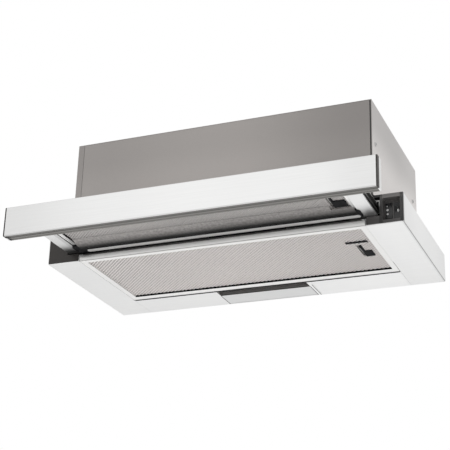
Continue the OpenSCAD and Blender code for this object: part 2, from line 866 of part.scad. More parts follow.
// A three-armed spider that holds the motor's rear end ahead of the inlet
module motor_bracket() {
    ring_x = motor_x1 - stack_back;
    arm_x = ring_x + 1.5;
    foot_x = scroll_half + scroll_t;
    color("silver") translate([0, axle_y, axle_z]) difference() {
        union() {
            along_x(ring_x, ring_x + 8) difference() {
                circle(motor_r + 3, $fn = 96);
                circle(motor_r - motor_step + touch, $fn = 96);
            }
            for (a = arm_angles) rotate([a, 0, 0]) {
                block(arm_x, arm_x + bracket_plate, motor_r + 1, bracket_r + 4.5,
                    -bracket_arm_w / 2, bracket_arm_w / 2);
                block(foot_x, foot_x + bracket_plate, bracket_r - 5, bracket_r + 4.5,
                    -bracket_arm_w / 2, bracket_arm_w / 2);
                block(min(foot_x, arm_x), max(foot_x, arm_x) + bracket_plate, bracket_r + 4,
                    bracket_r + 4 + bracket_plate, -bracket_arm_w / 2, bracket_arm_w / 2);
            }
        }
        for (a = arm_angles) rotate([a, 0, 0])
            rod_x(foot_x - 1, foot_x + bracket_plate + 1, bracket_r, 0, screw_r + touch);
    }
}

// Electrical box, gland and capacitor, hung from the casing's roof

cap_r = 15;
cap_len = 60;
cap_x = -collar_flange_r - 2 - cap_r;
box_w = 96;
box_x0 = cap_x - 2 * cap_r - box_w;
box_d = 64;
box_h = 36;
box_wall = 2;
gland_x = box_x0 + box_w / 2;
gland_y = casing_y1 - 60;
box_y1 = gland_y + 26;
box_y0 = box_y1 - box_d;
gland_r = 8;

module junction_box() {
    color("whitesmoke") difference() {
        block(box_x0, box_x0 + box_w, box_y0, box_y1, roof_z - box_h, roof_z);
        block(box_x0 + box_wall, box_x0 + box_w - box_wall, box_y0 + box_wall, box_y1 - box_wall,
            roof_z - box_h - 1, roof_z - box_wall);
        rod_z(gland_x, gland_y, roof_z - box_wall - 1, roof_z + 1, gland_r + touch);
    }
}

module junction_lid() {
    z = roof_z - box_h;
    color("whitesmoke") {
        block(box_x0, box_x0 + box_w, box_y0, box_y1, z - box_wall, z);
        difference() {
            block(box_x0 + box_wall + touch, box_x0 + box_w - box_wall - touch,
                box_y0 + box_wall + touch, box_y1 - box_wall - touch, z, z + 4);
            block(box_x0 + 2 * box_wall, box_x0 + box_w - 2 * box_wall,
                box_y0 + 2 * box_wall, box_y1 - 2 * box_wall, z, z + 5);
        }
    }
}

module cable_gland() {
    color("black") translate([gland_x, gland_y, 0]) difference() {
        union() {
            translate([0, 0, roof_z - box_wall - 6])
                cylinder(h = casing_h - roof_z + box_wall + 6, r = gland_r);
            translate([0, 0, casing_h]) cylinder(h = 4, r = gland_r + 4, $fn = 6);
            translate([0, 0, casing_h + 4]) cylinder(h = 8, r = gland_r - 1);
            translate([0, 0, roof_z - box_wall - 6]) cylinder(h = 6, r = gland_r + 3, $fn = 6);
        }
        translate([0, 0, roof_z - 20]) cylinder(h = 60, r = gland_bore_r);
    }
}

module capacitor() {
    color("ivory") {
        rod_y(cap_x, box_y0, box_y0 + cap_len, roof_z - sheet - cap_r, cap_r);
        along_y(box_y0 + cap_len / 2 - 6, box_y0 + cap_len / 2 + 6) difference() {
            union() {
                translate([cap_x, roof_z - sheet - cap_r]) circle(cap_r + 1);
                rect(cap_x - cap_r - 9, cap_x + cap_r + 9, roof_z - 1.2, roof_z);
            }
            translate([cap_x, roof_z - sheet - cap_r]) circle(cap_r);
            rect(cap_x - 6, cap_x + 6, roof_z - 2 * cap_r - 4, roof_z - 2 * cap_r + 2);
        }
    }
}

// Lamp

module lamp_tray() {
    x0 = lamp_x - tray_half;
    x1 = lamp_x + tray_half;
    z0 = under_z + sheet;
    color("silver") difference() {
        block(x0, x1, tray_y0, tray_y1, z0, tray_z);
        block(x0 + tray_wall, x1 - tray_wall, tray_y0 + tray_wall, tray_y1 - tray_wall,
            z0 - 1, tray_z - tray_wall);
        block(x0 + 2 * tray_wall, x1 - 2 * tray_wall, tray_y0 - 1, tray_y0 + tray_wall + touch,
            z0 - 1, under_z + scoop_rise + sheet);
        rod_x(x0 - 1, x0 + tray_wall + 1, bulb_y, bulb_z, socket_r + touch);
        rod_x(x0 - 1, x1 + 1, lamp_pin_y, lamp_pin_z, lamp_pin_r + 0.05);
    }
}

module lamp_socket() {
    x0 = lamp_x - tray_half;
    color("white") difference() {
        union() {
            rod_x(x0 - 8, x0 + socket_len, bulb_y, bulb_z, socket_r);
            rod_x(x0 - 3, x0, bulb_y, bulb_z, socket_r + 3);
        }
        rod_x(x0, x0 + socket_len + 1, bulb_y, bulb_z, cap_screw_r + touch);
    }
}

// A candle bulb as one turned form: cap, glass belly and tip
module lamp_bulb() {
    x0 = lamp_x - tray_half + 4;
    belly_x = socket_len - 2;
    belly_rise = 22;
    belly_fall = bulb_len - socket_len - belly_rise + 26;
    color("ivory") translate([x0, bulb_y, bulb_z]) rotate([0, 90, 0]) rotate_extrude()
        polygon(concat(
            [[0, 0], [cap_screw_r, 0], [cap_screw_r, belly_x]],
            [for (i = [1:12]) [cap_screw_r + (bulb_r - cap_screw_r) * sin(i * 90 / 12),
                belly_x + i * belly_rise / 12]],
            [for (i = [1:12]) [tip_r + (bulb_r - tip_r) * cos(i * 90 / 12),
                belly_x + belly_rise + i * belly_fall / 12]],
            [[0, belly_x + belly_rise + belly_fall + tip_r]]));
}

module lamp_hinge_pin() {
    color("silver")
        rod_x(lamp_x - tray_half - 1, lamp_x + tray_half + 1, lamp_pin_y, lamp_pin_z, lamp_pin_r);
}

// A shallow translucent tray with two hinge ears at its rear edge
module lamp_cover() {
    x0 = lamp_x - lamp_w / 2 + cover_play;
    x1 = lamp_x + lamp_w / 2 - cover_play;
    y1 = lamp_pin_y + sqrt(cover_reach * cover_reach - lamp_pin_up * lamp_pin_up);
    color("gainsboro", 0.8) difference() {
        union() {
            block(x0, x1, lamp_y0, y1, under_z, under_z + cover_skin);
            block(x0, x1, lamp_y0, lamp_y0 + 1.6, under_z, under_z + 7);
            for (x = [x0, x1 - 6]) {
                rod_x(x, x + 6, lamp_pin_y, lamp_pin_z, lamp_pin_r + 1.3);
            }
            for (x = [x0, x1 - 1.6]) block(x, x + 1.6, lamp_y0, lamp_pin_y, under_z, under_z + 5);
        }
        rod_x(-big, big, lamp_pin_y, lamp_pin_z, lamp_pin_r + 0.06);
        for (x = [x0 + 20:8:x1 - 20])
            block(x, x + 2, lamp_y0 + 4, y1 - 9, under_z + cover_skin - 0.8, under_z + cover_skin + 1);
    }
}

// Grease filters

// Where a latch sits on its filter
latch_in = 15;
latch_x1 = drawer_half - latch_in;
latch_x0 = latch_x1 - latch_w;
latch_y = (filter_y0 + filter_y1) / 2;
dlatch_y = dfilter_y1 - 32;
pocket_x0 = latch_x0 - latch_travel - 13;
pocket_h = 2.3;
flange_over = 2;
plate_t = 0.8;
plate_edge = 4;
slit_lead = 18;
slit_w = 6;

// The area inside a filter's border, at the given height and with the given margin
module border_inside(half, w, wr, y0, y1, z0, z1, margin) {
    block(margin + w - half, half - w - margin, y0 + w + margin, y1 - wr - margin, z0, z1);
}

// The way through the plate for a latch knob, over its whole travel
module knob_way(ly, z0, z1) {
    y0 = ly - latch_len / 2 - 0.5;
    y1 = ly + latch_len / 2 + 0.5;
    block(latch_x0 - latch_travel - 0.5, latch_x0 + latch_bar + 0.5, y0, y1, z0, z1);
    block(latch_x0 - latch_travel - 0.5, latch_x1 + 0.5, ly - 0.5, y1, z0, z1);
}

// The folded border round a filter, with its latch plate and its two tabs
module filter_border(half, w, wr, y0, y1, z, ly) {
    px0 = pocket_x0 - 3;
    difference() {
        union() {
            difference() {
                translate([0, 0, z]) linear_extrude(height = filter_t) round_rect(-half, half, y0, y1, 2);
                span_block(half - border_t, y0 + border_t, y1 - border_t,
                    z + border_t, z + filter_t - border_t);
                border_inside(half, w, wr, y0, y1, z - 1, z + filter_t + 1, 0);
            }
            difference() {
                border_inside(half, w, wr, y0, y1, z, z + mesh_rise, -border_t);
                border_inside(half, w, wr, y0, y1, z - 1, z + filter_t, 0);
            }
            block(px0, half - w, ly - latch_len / 2 - plate_edge,
                min(ly + latch_len / 2 + plate_edge, y1 - wr), z + mesh_rise - plate_t, z + mesh_rise);
            for (y = tab_ys(y0, y1))
                block(-half - tab_reach, w - half, y - tab_w / 2, y + tab_w / 2,
                    z + mesh_rise, z + mesh_rise + tab_t);
        }
        knob_way(ly, z - 1, z + mesh_rise + 0.01);
        tongue_slot(latch_x1, half + 1, ly, z);
    }
}

module filter_frame() {
    color("lightgray")
        filter_border(filter_half, border_w, border_rear, filter_y0, filter_y1, filter_z, latch_y);
}

module drawer_filter_frame() {
    color("lightgray") filter_border(drawer_half, drawer_border, drawer_border,
        dfilter_y0, dfilter_y1, dfilter_z, dlatch_y);
}

// A mesh pack: a sheet with diagonal ridges below, open over the latch
module mesh_pack(half, w, wr, y0, y1, z, ly) {
    zm = z + mesh_rise;
    diag = (y1 - y0 + 2 * half) * 0.75;
    ridge = mesh_t / 4;
    difference() {
        union() {
            span_block(half - border_t, y0 + border_t, y1 - border_t, zm + ridge, zm + mesh_t - ridge);
            difference() {
                span_block(half - border_t, y0 + border_t, y1 - border_t, zm, zm + mesh_t);
                border_inside(half, w, wr, y0, y1, zm - 1, zm + mesh_t + 1, 1);
            }
            intersection() {
                border_inside(half, w, wr, y0, y1, zm, zm + ridge + 0.05, 0.5);
                for (d = [-diag:strand_pitch:diag])
                    translate([d, (y0 + y1) / 2, zm]) rotate([0, 0, 45])
                        translate([-strand_w / 2, -diag, 0]) cube([strand_w, 2 * diag, mesh_t]);
            }
        }
        block(pocket_x0, half + 1, ly - latch_len / 2 - flange_over - 1,
            ly + latch_len / 2 + flange_over + 1, zm - 1, zm + pocket_h);
        for (y = tab_ys(y0, y1))
            block(-half - 1, w - half + touch, y - tab_w / 2 - touch, y + tab_w / 2 + touch,
                zm - 1, zm + tab_t);
    }
}

// The fixed filter's mesh also has a finger slit ahead of the latch
module filter_mesh() {
    y0 = latch_y - latch_len / 2 - slit_lead;
    color("silver") difference() {
        mesh_pack(filter_half, border_w, border_rear, filter_y0, filter_y1, filter_z, latch_y);
        block(pocket_x0, latch_x1 + slit_w, y0, y0 + slit_w, filter_z, filter_z + mesh_rise + pocket_h);
    }
}

module drawer_filter_mesh() {
    color("silver") mesh_pack(drawer_half, drawer_border, drawer_border,
        dfilter_y0, dfilter_y1, dfilter_z, dlatch_y);
}

// A sliding latch: a flange above the plate, an L-shaped knob through it and a tongue
module latch(z, ly, tip_x) {
    zm = z + mesh_rise + touch;
    y0 = ly - latch_len / 2;
    z0 = z + 0.9;
    block(latch_x0 - flange_over, latch_x1 + flange_over, y0 - flange_over,
        y0 + latch_len + flange_over, zm, zm + 1.2);
    block(latch_x0, latch_x0 + latch_bar, y0, y0 + latch_len, z0, zm + 0.2);
    block(latch_x0, latch_x1, ly, y0 + latch_len, z0, zm + 0.2);
    block(latch_x1, tip_x, ly - tongue_w / 2, ly + tongue_w / 2, zm, zm + tongue_t);
}

module filter_latch() {
    color("black") latch(filter_z, latch_y, cover_in_x + sheet + 3);
}

module drawer_latch() {
    color("black") latch(dfilter_z, dlatch_y, member_in_x + member_t + 3);
}

// A folded leaf spring between the latch and the end of its pocket
spring_t = 0.5;
spring_w = 1.4;
spring_reach = 9;
module latch_spring(z, ly) {
    x0 = pocket_x0 + touch;
    x1 = latch_x0 - flange_over - touch;
    step = (x1 - x0 - spring_t) / 4;
    zm = z + mesh_rise + touch;
    for (i = [0:4]) block(x0 + i * step, x0 + i * step + spring_t,
        ly - spring_reach, ly + spring_reach, zm, zm + spring_w);
    for (i = [0:3]) block(x0 + i * step, x0 + (i + 1) * step + spring_t,
        ly + (i % 2 == 0 ? spring_reach - spring_t : -spring_reach),
        ly + (i % 2 == 0 ? spring_reach : spring_t - spring_reach), zm, zm + spring_w);
}

module filter_spring() {
    color("silver") latch_spring(filter_z, latch_y);
}

module drawer_spring() {
    color("silver") latch_spring(dfilter_z, dlatch_y);
}

// Slides, drawn in section: u runs from the member's web outwards, v is up from the middle

function rail_screw_ys() = [for (i = [0:2]) rail_y0 + rail_len * (0.12 + 0.38 * i)];

module at_rail() {
    translate([web_out_x, rail_z]) children();
}

module ball_grooves() {
    for (v = [-1, 1] * ball_v) translate([ball_u, v]) circle(ball_r + touch);
}

module outer_rail_section() {
    difference() {
        rect(1.8, rail_d, -rail_h / 2, rail_h / 2);
        rect(0, rail_d - rail_t, 1.8 - rail_h / 2, rail_h / 2 - 1.8);
        ball_grooves();
    }
}

module inner_rail_section() {
    difference() {
        rect(0, rail_d - 2.8, -inner_rail_v, inner_rail_v);
        rect(rail_t, rail_d, 1.6 - inner_rail_v, inner_rail_v - 1.6);
        ball_grooves();
    }
}

module cage_section() {
    top = ball_v + cage_t / 2;
    difference() {
        rect(2.6, rail_d - rail_t - seat, -top, top);
        rect(0, rail_d - rail_t - seat - cage_t, cage_t - top, top - cage_t);
    }
}

module rail_outer_right() {
    color("gray") difference() {
        along_y(rail_y0, rail_y0 + rail_len) at_rail() outer_rail_section();
        for (y = rail_screw_ys())
            rod_x(rail_out_x - rail_t - 1, rail_out_x + 1, y, rail_z, screw_r + touch);
    }
}

module rail_outer_left() {
    left_side() rail_outer_right();
}

module rail_inner_right() {
    color("lightgray") difference() {
        along_y(drawer_back_y + 6, drawer_back_y + rail_len) at_rail() inner_rail_section();
        for (y = member_screw_ys())
            rod_x(web_out_x - 1, web_out_x + rail_t + 1, y, rail_z, screw_r + touch);
    }
}

module rail_inner_left() {
    left_side() rail_inner_right();
}

module ball_cage_right() {
    y0 = cage_mid_y - cage_len / 2;
    color("darkgray") difference() {
        along_y(y0, y0 + cage_len) at_rail() cage_section();
        for (i = [0:ball_count - 1])
            rod_z(web_out_x + ball_u, y0 + 8 + i * ball_pitch, rail_z - rail_h, rail_z + rail_h,
                ball_r + touch);
    }
    color("silver") for (i = [0:ball_count - 1], v = [-1, 1] * ball_v)
        translate([web_out_x + ball_u, y0 + 8 + i * ball_pitch, rail_z + v]) sphere(ball_r, $fn = 24);
}

module ball_cage_left() {
    left_side() ball_cage_right();
}

// Drawer

function member_screw_ys() = [for (i = [0:2]) drawer_back_y + rail_len * (0.14 + 0.36 * i)];

module member_section() {
    rect(member_in_x, member_out_x, member_z, member_z + member_t);
    rect(web_x, web_out_x, member_z, member_z + member_h);
    rect(member_in_x, member_in_x + member_t, member_z, member_z + 11);
    rect(member_out_x - member_t, member_out_x, member_z, member_z + 2.2);
}

module member_base() {
    difference() {
        union() {
            along_y(drawer_back_y, drawer_back_y + rail_len) member_section();
            block(member_in_x, member_out_x, drawer_back_y, drawer_back_y + end_plate_t,
                member_z, member_z + member_h);
        }
        for (y = member_screw_ys())
            rod_x(web_x - 1, web_out_x + 1, y, rail_z, screw_r + touch);
        for (x = front_screw_xs())
            rod_y(x, drawer_back_y - 1, drawer_back_y + end_plate_t + 1, rail_z, screw_r + touch);
    }
}

function front_screw_xs() = [member_in_x + 6, web_out_x + 4.6];

module member_right() {
    color("whitesmoke") difference() {
        member_base();
        tongue_slot(member_in_x - 1, member_in_x + member_t + 1, dlatch_y, dfilter_z);
    }
}

module member_left() {
    color("whitesmoke") difference() {
        left_side() member_base();
        tab_slots(-member_in_x - member_t - 1, 1 - member_in_x, dfilter_y0, dfilter_y1, dfilter_z);
    }
}

// Outline of the front profile in Y and Z
module front_outline(inset, r) {
    round_rect(drawer_back_y - front_t + inset, drawer_back_y - inset,
        under_z - front_drop + inset, under_z - front_drop + front_h - inset, r);
}

// The part of the front profile's outline ahead of the end caps' rear edge, or behind it
module front_part(ahead) {
    y = drawer_back_y - front_t + cap_d;
    intersection() {
        front_outline(0, 1.5);
        if (ahead) rect(y - big, y, under_z - big, big);
        else rect(y, y + big, under_z - big, big);
    }
}

module drawer_front() {
    x = front_half - cap_t;
    z0 = under_z - front_drop;
    color("whitesmoke") difference() {
        union() {
            along_x(-x, x) difference() {
                front_outline(0, 1.5);
                front_outline(profile_wall, 0.6);
                rect(grip_y0, drawer_back_y + 1, z0 - 1, z0 + profile_wall + touch);
            }
            both_sides() along_x(x, front_half) front_part(false);
        }
        both_sides() for (xs = front_screw_xs())
            rod_y(xs, drawer_back_y - profile_wall - 1, drawer_back_y + 1, rail_z, screw_r + touch);
    }
}

// A dark strip that closes the front profile from below and gives the fingers a hold
grip_y0 = drawer_back_y - front_t + profile_wall;
module front_grip() {
    x = front_half - cap_t;
    y_mid = grip_y0 + (drawer_back_y - grip_y0) / 2;
    z0 = under_z - front_drop;
    color("dimgray") along_x(-x, x) {
        rect(grip_y0, drawer_back_y, z0 + 0.6, z0 + profile_wall);
        rect(grip_y0, grip_y0 + 3, z0, z0 + profile_wall);
        rect(y_mid - 1.5, y_mid + 1.5, z0, z0 + profile_wall);
        rect(drawer_back_y - 3, drawer_back_y, z0, z0 + profile_wall);
    }
}

module front_cap_right() {
    x = front_half - cap_t;
    z0 = under_z - front_drop + profile_wall + touch;
    color("dimgray") {
        along_x(x, front_half) front_part(true);
        along_x(x - 9, x) difference() {
            front_outline(profile_wall + 0.2, 0.6);
            front_outline(profile_wall + 1.8, 0.4);
            rect(drawer_back_y - front_t, drawer_back_y, z0 - big, z0);
        }
    }
}

module front_cap_left() {
    left_side() front_cap_right();
}

module front_angle() {
    z1 = dfilter_z + filter_t + seat;
    color("silver") {
        span_block(member_in_x - touch, drawer_back_y, drawer_back_y + angle_t,
            dfilter_z, z1 + angle_t);
        span_block(member_in_x - touch, drawer_back_y, drawer_back_y + angle_leaf, z1, z1 + angle_t);
    }
}

// A dark moulding behind the filter, with a groove for the bright bar
module rear_trim() {
    x = member_in_x - touch;
    z1 = dfilter_z + filter_t + seat;
    color("black") difference() {
        union() {
            span_block(x, trim_y0, trim_y1, trim_z, trim_z + trim_h);
            span_block(x, trim_y0 - 8, trim_y1, z1, z1 + angle_t);
            translate([0, 0, trim_z]) linear_extrude(height = member_z - trim_z)
                round_rect(-x - trim_wing, x + trim_wing, trim_y0, trim_y1, trim_r);
        }
        translate([0, 0, trim_z - 1]) linear_extrude(height = bar_h + 1) bar_outline(touch);
        span_block(x - 6, trim_y0 + trim_edge, bar_y0 - trim_edge, trim_z + 3, z1 + big);
        span_block(x - 6, bar_y0, bar_y1, trim_z + bar_h + 3, z1 + big);
    }
}

module bar_outline(grow) {
    round_rect(-bar_left - grow, bar_right + grow, bar_y0 - grow, bar_y1 + grow, bar_d / 2 - 0.5);
}

module rear_bar() {
    color("white") translate([0, 0, bar_z]) linear_extrude(height = trim_z + bar_h - touch - bar_z)
        bar_outline(0);
}

module drawer_screws() {
    color("silver") both_sides() {
        for (x = front_screw_xs())
            translate([x, drawer_back_y + end_plate_t, rail_z]) rotate([-90, 0, 0])
                screw(end_plate_t + profile_wall + 4);
        for (y = member_screw_ys())
            translate([web_x, y, rail_z]) rotate([0, -90, 0]) screw(member_t + rail_t + 0.6);
    }
}

module rail_screws() {
    color("silver") both_sides() for (y = rail_screw_ys())
        translate([rail_out_x + sheet, y, rail_z]) rotate([0, 90, 0]) screw(sheet + rail_t);
}

lower_shell();
side_cover_left();
side_cover_right();
rear_strip();
rail_bracket_left();
rail_bracket_right();
corner_cap_left();
control_bezel();
casing_shell();
casing_front();
casing_rear();
casing_screws();
outlet_collar();
flap_pin();
flap_front();
flap_rear();
scroll_left();
scroll_right();
scroll_screws();
impeller();
motor_shaft();
motor();
motor_bracket();
junction_box();
junction_lid();
cable_gland();
capacitor();
switch_bodies();
fan_rocker();
light_rocker();
lamp_tray();
lamp_socket();
lamp_bulb();
lamp_cover();
lamp_hinge_pin();
filter_frame();
filter_mesh();
filter_latch();
filter_spring();
rail_outer_left();
rail_outer_right();
ball_cage_left();
ball_cage_right();
rail_inner_left();
rail_inner_right();
member_left();
member_right();
drawer_front();
front_grip();
front_cap_left();
front_cap_right();
front_angle();
rear_trim();
rear_bar();
drawer_filter_frame();
drawer_filter_mesh();
drawer_latch();
drawer_spring();
drawer_screws();
rail_screws();
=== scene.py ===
"""Finishes a pull-out cooker hood: steel, filter mesh, plastics, lamp, switches and the stage."""

import math
from collections import namedtuple

import bmesh
import bpy
from mathutils import Matrix, Vector


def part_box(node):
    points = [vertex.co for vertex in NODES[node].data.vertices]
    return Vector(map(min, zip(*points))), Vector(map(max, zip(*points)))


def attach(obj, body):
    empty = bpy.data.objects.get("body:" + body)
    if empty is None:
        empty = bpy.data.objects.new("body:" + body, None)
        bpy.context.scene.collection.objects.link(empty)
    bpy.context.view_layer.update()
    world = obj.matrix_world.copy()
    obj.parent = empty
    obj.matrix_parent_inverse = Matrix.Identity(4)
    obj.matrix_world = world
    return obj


bl_info = {
    "name": "Pull-out hood finish",
    "version": (1, 0, 0),
    "blender": (4, 5, 0),
    "location": "View3D > Sidebar > Hood",
    "description": "Metals, plastics, filter mesh, lamp and stage for a pull-out cooker hood",
    "category": "Object",
}

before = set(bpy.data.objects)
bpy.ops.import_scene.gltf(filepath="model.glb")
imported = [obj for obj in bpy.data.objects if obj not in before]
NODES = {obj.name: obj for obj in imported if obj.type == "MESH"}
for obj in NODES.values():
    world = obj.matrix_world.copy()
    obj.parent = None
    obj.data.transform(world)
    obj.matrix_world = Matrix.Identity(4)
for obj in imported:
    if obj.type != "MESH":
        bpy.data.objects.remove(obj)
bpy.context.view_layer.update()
MM = 0.001

CASING_NODES = ("casing_shell", "casing_rear", "lower_shell", "motor_bracket", "lamp_tray")
RAIL_NODES = ("rail_outer_left", "rail_outer_right", "rail_inner_left", "rail_inner_right",
              "ball_cage_left", "ball_cage_right")
ZINC_NODES = ("front_angle", "flap_pin", "lamp_hinge_pin", "motor_shaft", "filter_spring",
              "drawer_spring")
SCREW_NODES = ("casing_screws", "scroll_screws", "drawer_screws", "rail_screws")
CAP_NODES = ("corner_cap_left", "front_cap_left", "front_cap_right")
BLACK_NODES = ("switch_bodies", "outlet_collar", "flap_front", "flap_rear", "scroll_left",
               "scroll_right", "impeller", "cable_gland")
WHITE_NODES = ("junction_box", "junction_lid", "capacitor", "lamp_socket")

# Painted light and shade: every entry is (axis, start, end, level), with its places in metres: the
# colour is full at the start and multiplied by the level from the end on, so that light and shade
# are painted into the colour.
# Painted shade and light on the coated sheet: darker towards the front and the top, darkest along
# the front bend, lighter towards the rear.
CASING_PAINTED_LIGHT = [("Y", 0.08, -0.13, 0.98), ("Y", -0.139, -0.142, 0.85), ("Z", 0.06, 0.135, 0.71),
                ("Y", 0.0, 0.12, 1.16)]
# Painted shade and light on the casing's front: darker towards both sides and beyond the left
# seam, lighter low down.
PANEL_PAINTED_LIGHT = [("X", 0.02, 0.25, 0.73), ("X", -0.02, -0.22, 0.88), ("Z", 0.13, 0.07, 1.12),
               ("X", -0.2438, -0.2442, 0.9)]
# Painted highlight and shade on the drawer front: lighter across the middle, darker towards both
# ends.
FRONT_PAINTED_LIGHT = [("X", -0.12, -0.30, 0.88), ("X", -0.10, 0.02, 1.03), ("X", 0.21, 0.275, 0.95)]
# Painted light and shade on the bezel: a lighter top band with shade below it and deeper shade low
# down, darker at the right end and on a strip at the left, full again at the far left.
BEZEL_PAINTED_LIGHT = [("Z", -0.004, -0.010, 0.5), ("Z", -0.036, -0.040, 0.8), ("X", 0.2935, 0.2945, 0.4),
               ("X", 0.2678, 0.2668, 0.45), ("X", 0.2625, 0.2615, 2.2)]
# Painted light and shade across the fixed filter's mesh: its inner layers darker towards both
# sides, its outer layer lighter to the left and darker to the right.
FIXED_INNER_PAINTED_LIGHT = [("X", -0.05, -0.2, 0.72), ("X", 0.05, 0.2, 0.94)]
FIXED_OUTER_PAINTED_LIGHT = [("X", -0.05, -0.2, 1.06), ("X", 0.05, 0.2, 0.94)]
# Painted shade on the drawer filter's mesh: dark under the drawer front, darker towards the rear
# and to the right.
DRAWER_PAINTED_LIGHT = [("Y", -0.228, -0.252, 0.55), ("Y", -0.210, -0.186, 0.89), ("X", -0.13, 0.0, 0.94)]

# The plane of the covers' front edges and that of the underside, in millimetres
FRONT_Y = -137.5
UNDER_Z = -47.5

# Filters, in millimetres. Borders are what the frame covers at each side, in front and behind,
# drops are measured down from the mesh sheet, and outlines are points of (y, z).
FIXED_BORDERS = (9.0, 9.0, 14.0)
DRAWER_BORDERS = (4.0, 4.0, 4.0)
WEAVE_DROP = 1.45
WEAVE_THICKNESS = 0.5
WEAVE_MARGIN = 0.3
SHADOW_DROP = 2.0
SHADOW_THICKNESS = 0.2
FRONT_ROLL = [(-133.0, -38.5), (-136.2, -38.0), (-136.9, -38.8), (-137.3, -40.2), (-137.4, -41.6),
              (-137.2, -43.2), (-136.6, -44.8), (-135.6, -46.2), (-134.4, -47.2), (-133.0, -47.45)]
MESH_EDGE = [(-169.0, -34.5), (-152.0, -34.5), (-152.0, -33.9), (-171.0, -31.0)]
MESH_EDGE_SPLIT = 199.5

# The marks on the rockers, in millimetres: across, up from the middle, and radius
FAN_MARKS = ((-2.7, 7.9, 0.9), (-2.5, 2.3, 1.9), (-2.3, -4.6, 1.6))
LIGHT_MARKS = ((0.9, 1.2, 1.5), (0.9, -0.6, 1.6))

# The camera of the photograph: its axes, its place in metres and its lens in millimetres
CAMERA_RIGHT = (0.925823, 0.376940, 0.027725)
CAMERA_UP = (0.120244, -0.363291, 0.923884)
CAMERA_AHEAD = (-0.358321, 0.852019, 0.381668)
CAMERA_PLACE = (0.698136, -1.763076, -0.744932)
CAMERA_LENS = 97.74

Place = namedtuple("Place", "low high half front rear under latch_x latch_y latch_reach")


# Settings

class HoodMetals(bpy.types.PropertyGroup):
    steel: bpy.props.FloatVectorProperty(
        name="Steel", description="Brushed steel of the drawer front and the underside",
        subtype="COLOR", size=3, min=0, max=1, default=(0.86, 0.86, 0.855))
    steel_roughness: bpy.props.FloatProperty(
        name="Steel roughness", description="Roughness of the brushed steel",
        min=0.05, max=1, default=0.36)
    grain: bpy.props.FloatProperty(
        name="Grain length", description="Length of the brushed lines against their width",
        min=5, max=400, default=120)
    sheet: bpy.props.FloatVectorProperty(
        name="Sheet", description="Coated sheet of the upper casing's sides",
        subtype="COLOR", size=3, min=0, max=1, default=(0.74, 0.712, 0.695))
    # Painted shade: the same coated sheet as the sides, with a darker colour for the casing's
    # front, which gets less light.
    panel: bpy.props.FloatVectorProperty(
        name="Panel", description="Coated sheet of the upper casing's front",
        subtype="COLOR", size=3, min=0, max=1, default=(0.41, 0.384, 0.368))
    # Painted shade: near black for the rail brackets, the lower shell's underside and front faces,
    # and the shade lines in seams and gaps, which all lie in shade.
    dark: bpy.props.FloatVectorProperty(
        name="Dark sheet", description="Black-coated sheet of the rail brackets",
        subtype="COLOR", size=3, min=0, max=1, default=(0.03, 0.03, 0.03))
    # Painted shade: the slides are painted dark, as the shade round them.
    rail: bpy.props.FloatVectorProperty(
        name="Rails", description="Dark plated steel of the slides",
        subtype="COLOR", size=3, min=0, max=1, default=(0.16, 0.16, 0.155))
    zinc: bpy.props.FloatVectorProperty(
        name="Zinc", description="Plated steel of pins, springs and screws",
        subtype="COLOR", size=3, min=0, max=1, default=(0.62, 0.62, 0.61))
    bar: bpy.props.FloatVectorProperty(
        name="Bar", description="Satin bar across the rear of the drawer",
        subtype="COLOR", size=3, min=0, max=1, default=(0.66, 0.655, 0.645))


class HoodFilters(bpy.types.PropertyGroup):
    frame_colour: bpy.props.FloatVectorProperty(
        name="Frame", description="Folded aluminium border of the filters",
        subtype="COLOR", size=3, min=0, max=1, default=(0.97, 0.965, 0.95))
    # Painted light and shade: both filters and all their layers are one aluminium. The fixed
    # filter's inner layers are painted darker than its outer one; the drawer filter's outer layer
    # is painted darker, as it lies in shade, and its inner layers lighter, to lift the shade
    # between the strands.
    mesh_colour: bpy.props.FloatVectorProperty(
        name="Mesh", description="Outer layer of the fixed filter's mesh",
        subtype="COLOR", size=3, min=0, max=1, default=(0.90, 0.86, 0.84))
    drawer_mesh_colour: bpy.props.FloatVectorProperty(
        name="Drawer mesh", description="Outer layer of the drawer filter's mesh",
        subtype="COLOR", size=3, min=0, max=1, default=(0.565, 0.542, 0.528))
    inner_colour: bpy.props.FloatVectorProperty(
        name="Inner layers", description="Inner layers of the fixed filter's mesh",
        subtype="COLOR", size=3, min=0, max=1, default=(0.66, 0.625, 0.61))
    drawer_inner_colour: bpy.props.FloatVectorProperty(
        name="Drawer inner layers", description="Inner layers of the drawer filter's mesh",
        subtype="COLOR", size=3, min=0, max=1, default=(0.92, 0.883, 0.86))
    pitch: bpy.props.FloatProperty(
        name="Pitch", description="Distance between the fixed filter's strands along its width",
        unit="LENGTH", min=0.003, max=0.02, default=0.007)
    drawer_pitch: bpy.props.FloatProperty(
        name="Drawer pitch",
        description="Distance between the drawer filter's strands along its width",
        unit="LENGTH", min=0.003, max=0.02, default=0.0056)
    strand: bpy.props.FloatProperty(
        name="Strand", description="Width of one strand of the mesh",
        unit="LENGTH", min=0.0004, max=0.004, default=0.0016)
    wave: bpy.props.FloatProperty(
        name="Wave", description="How far a strand weaves up and down",
        unit="LENGTH", min=0, max=0.001, default=0.00025)


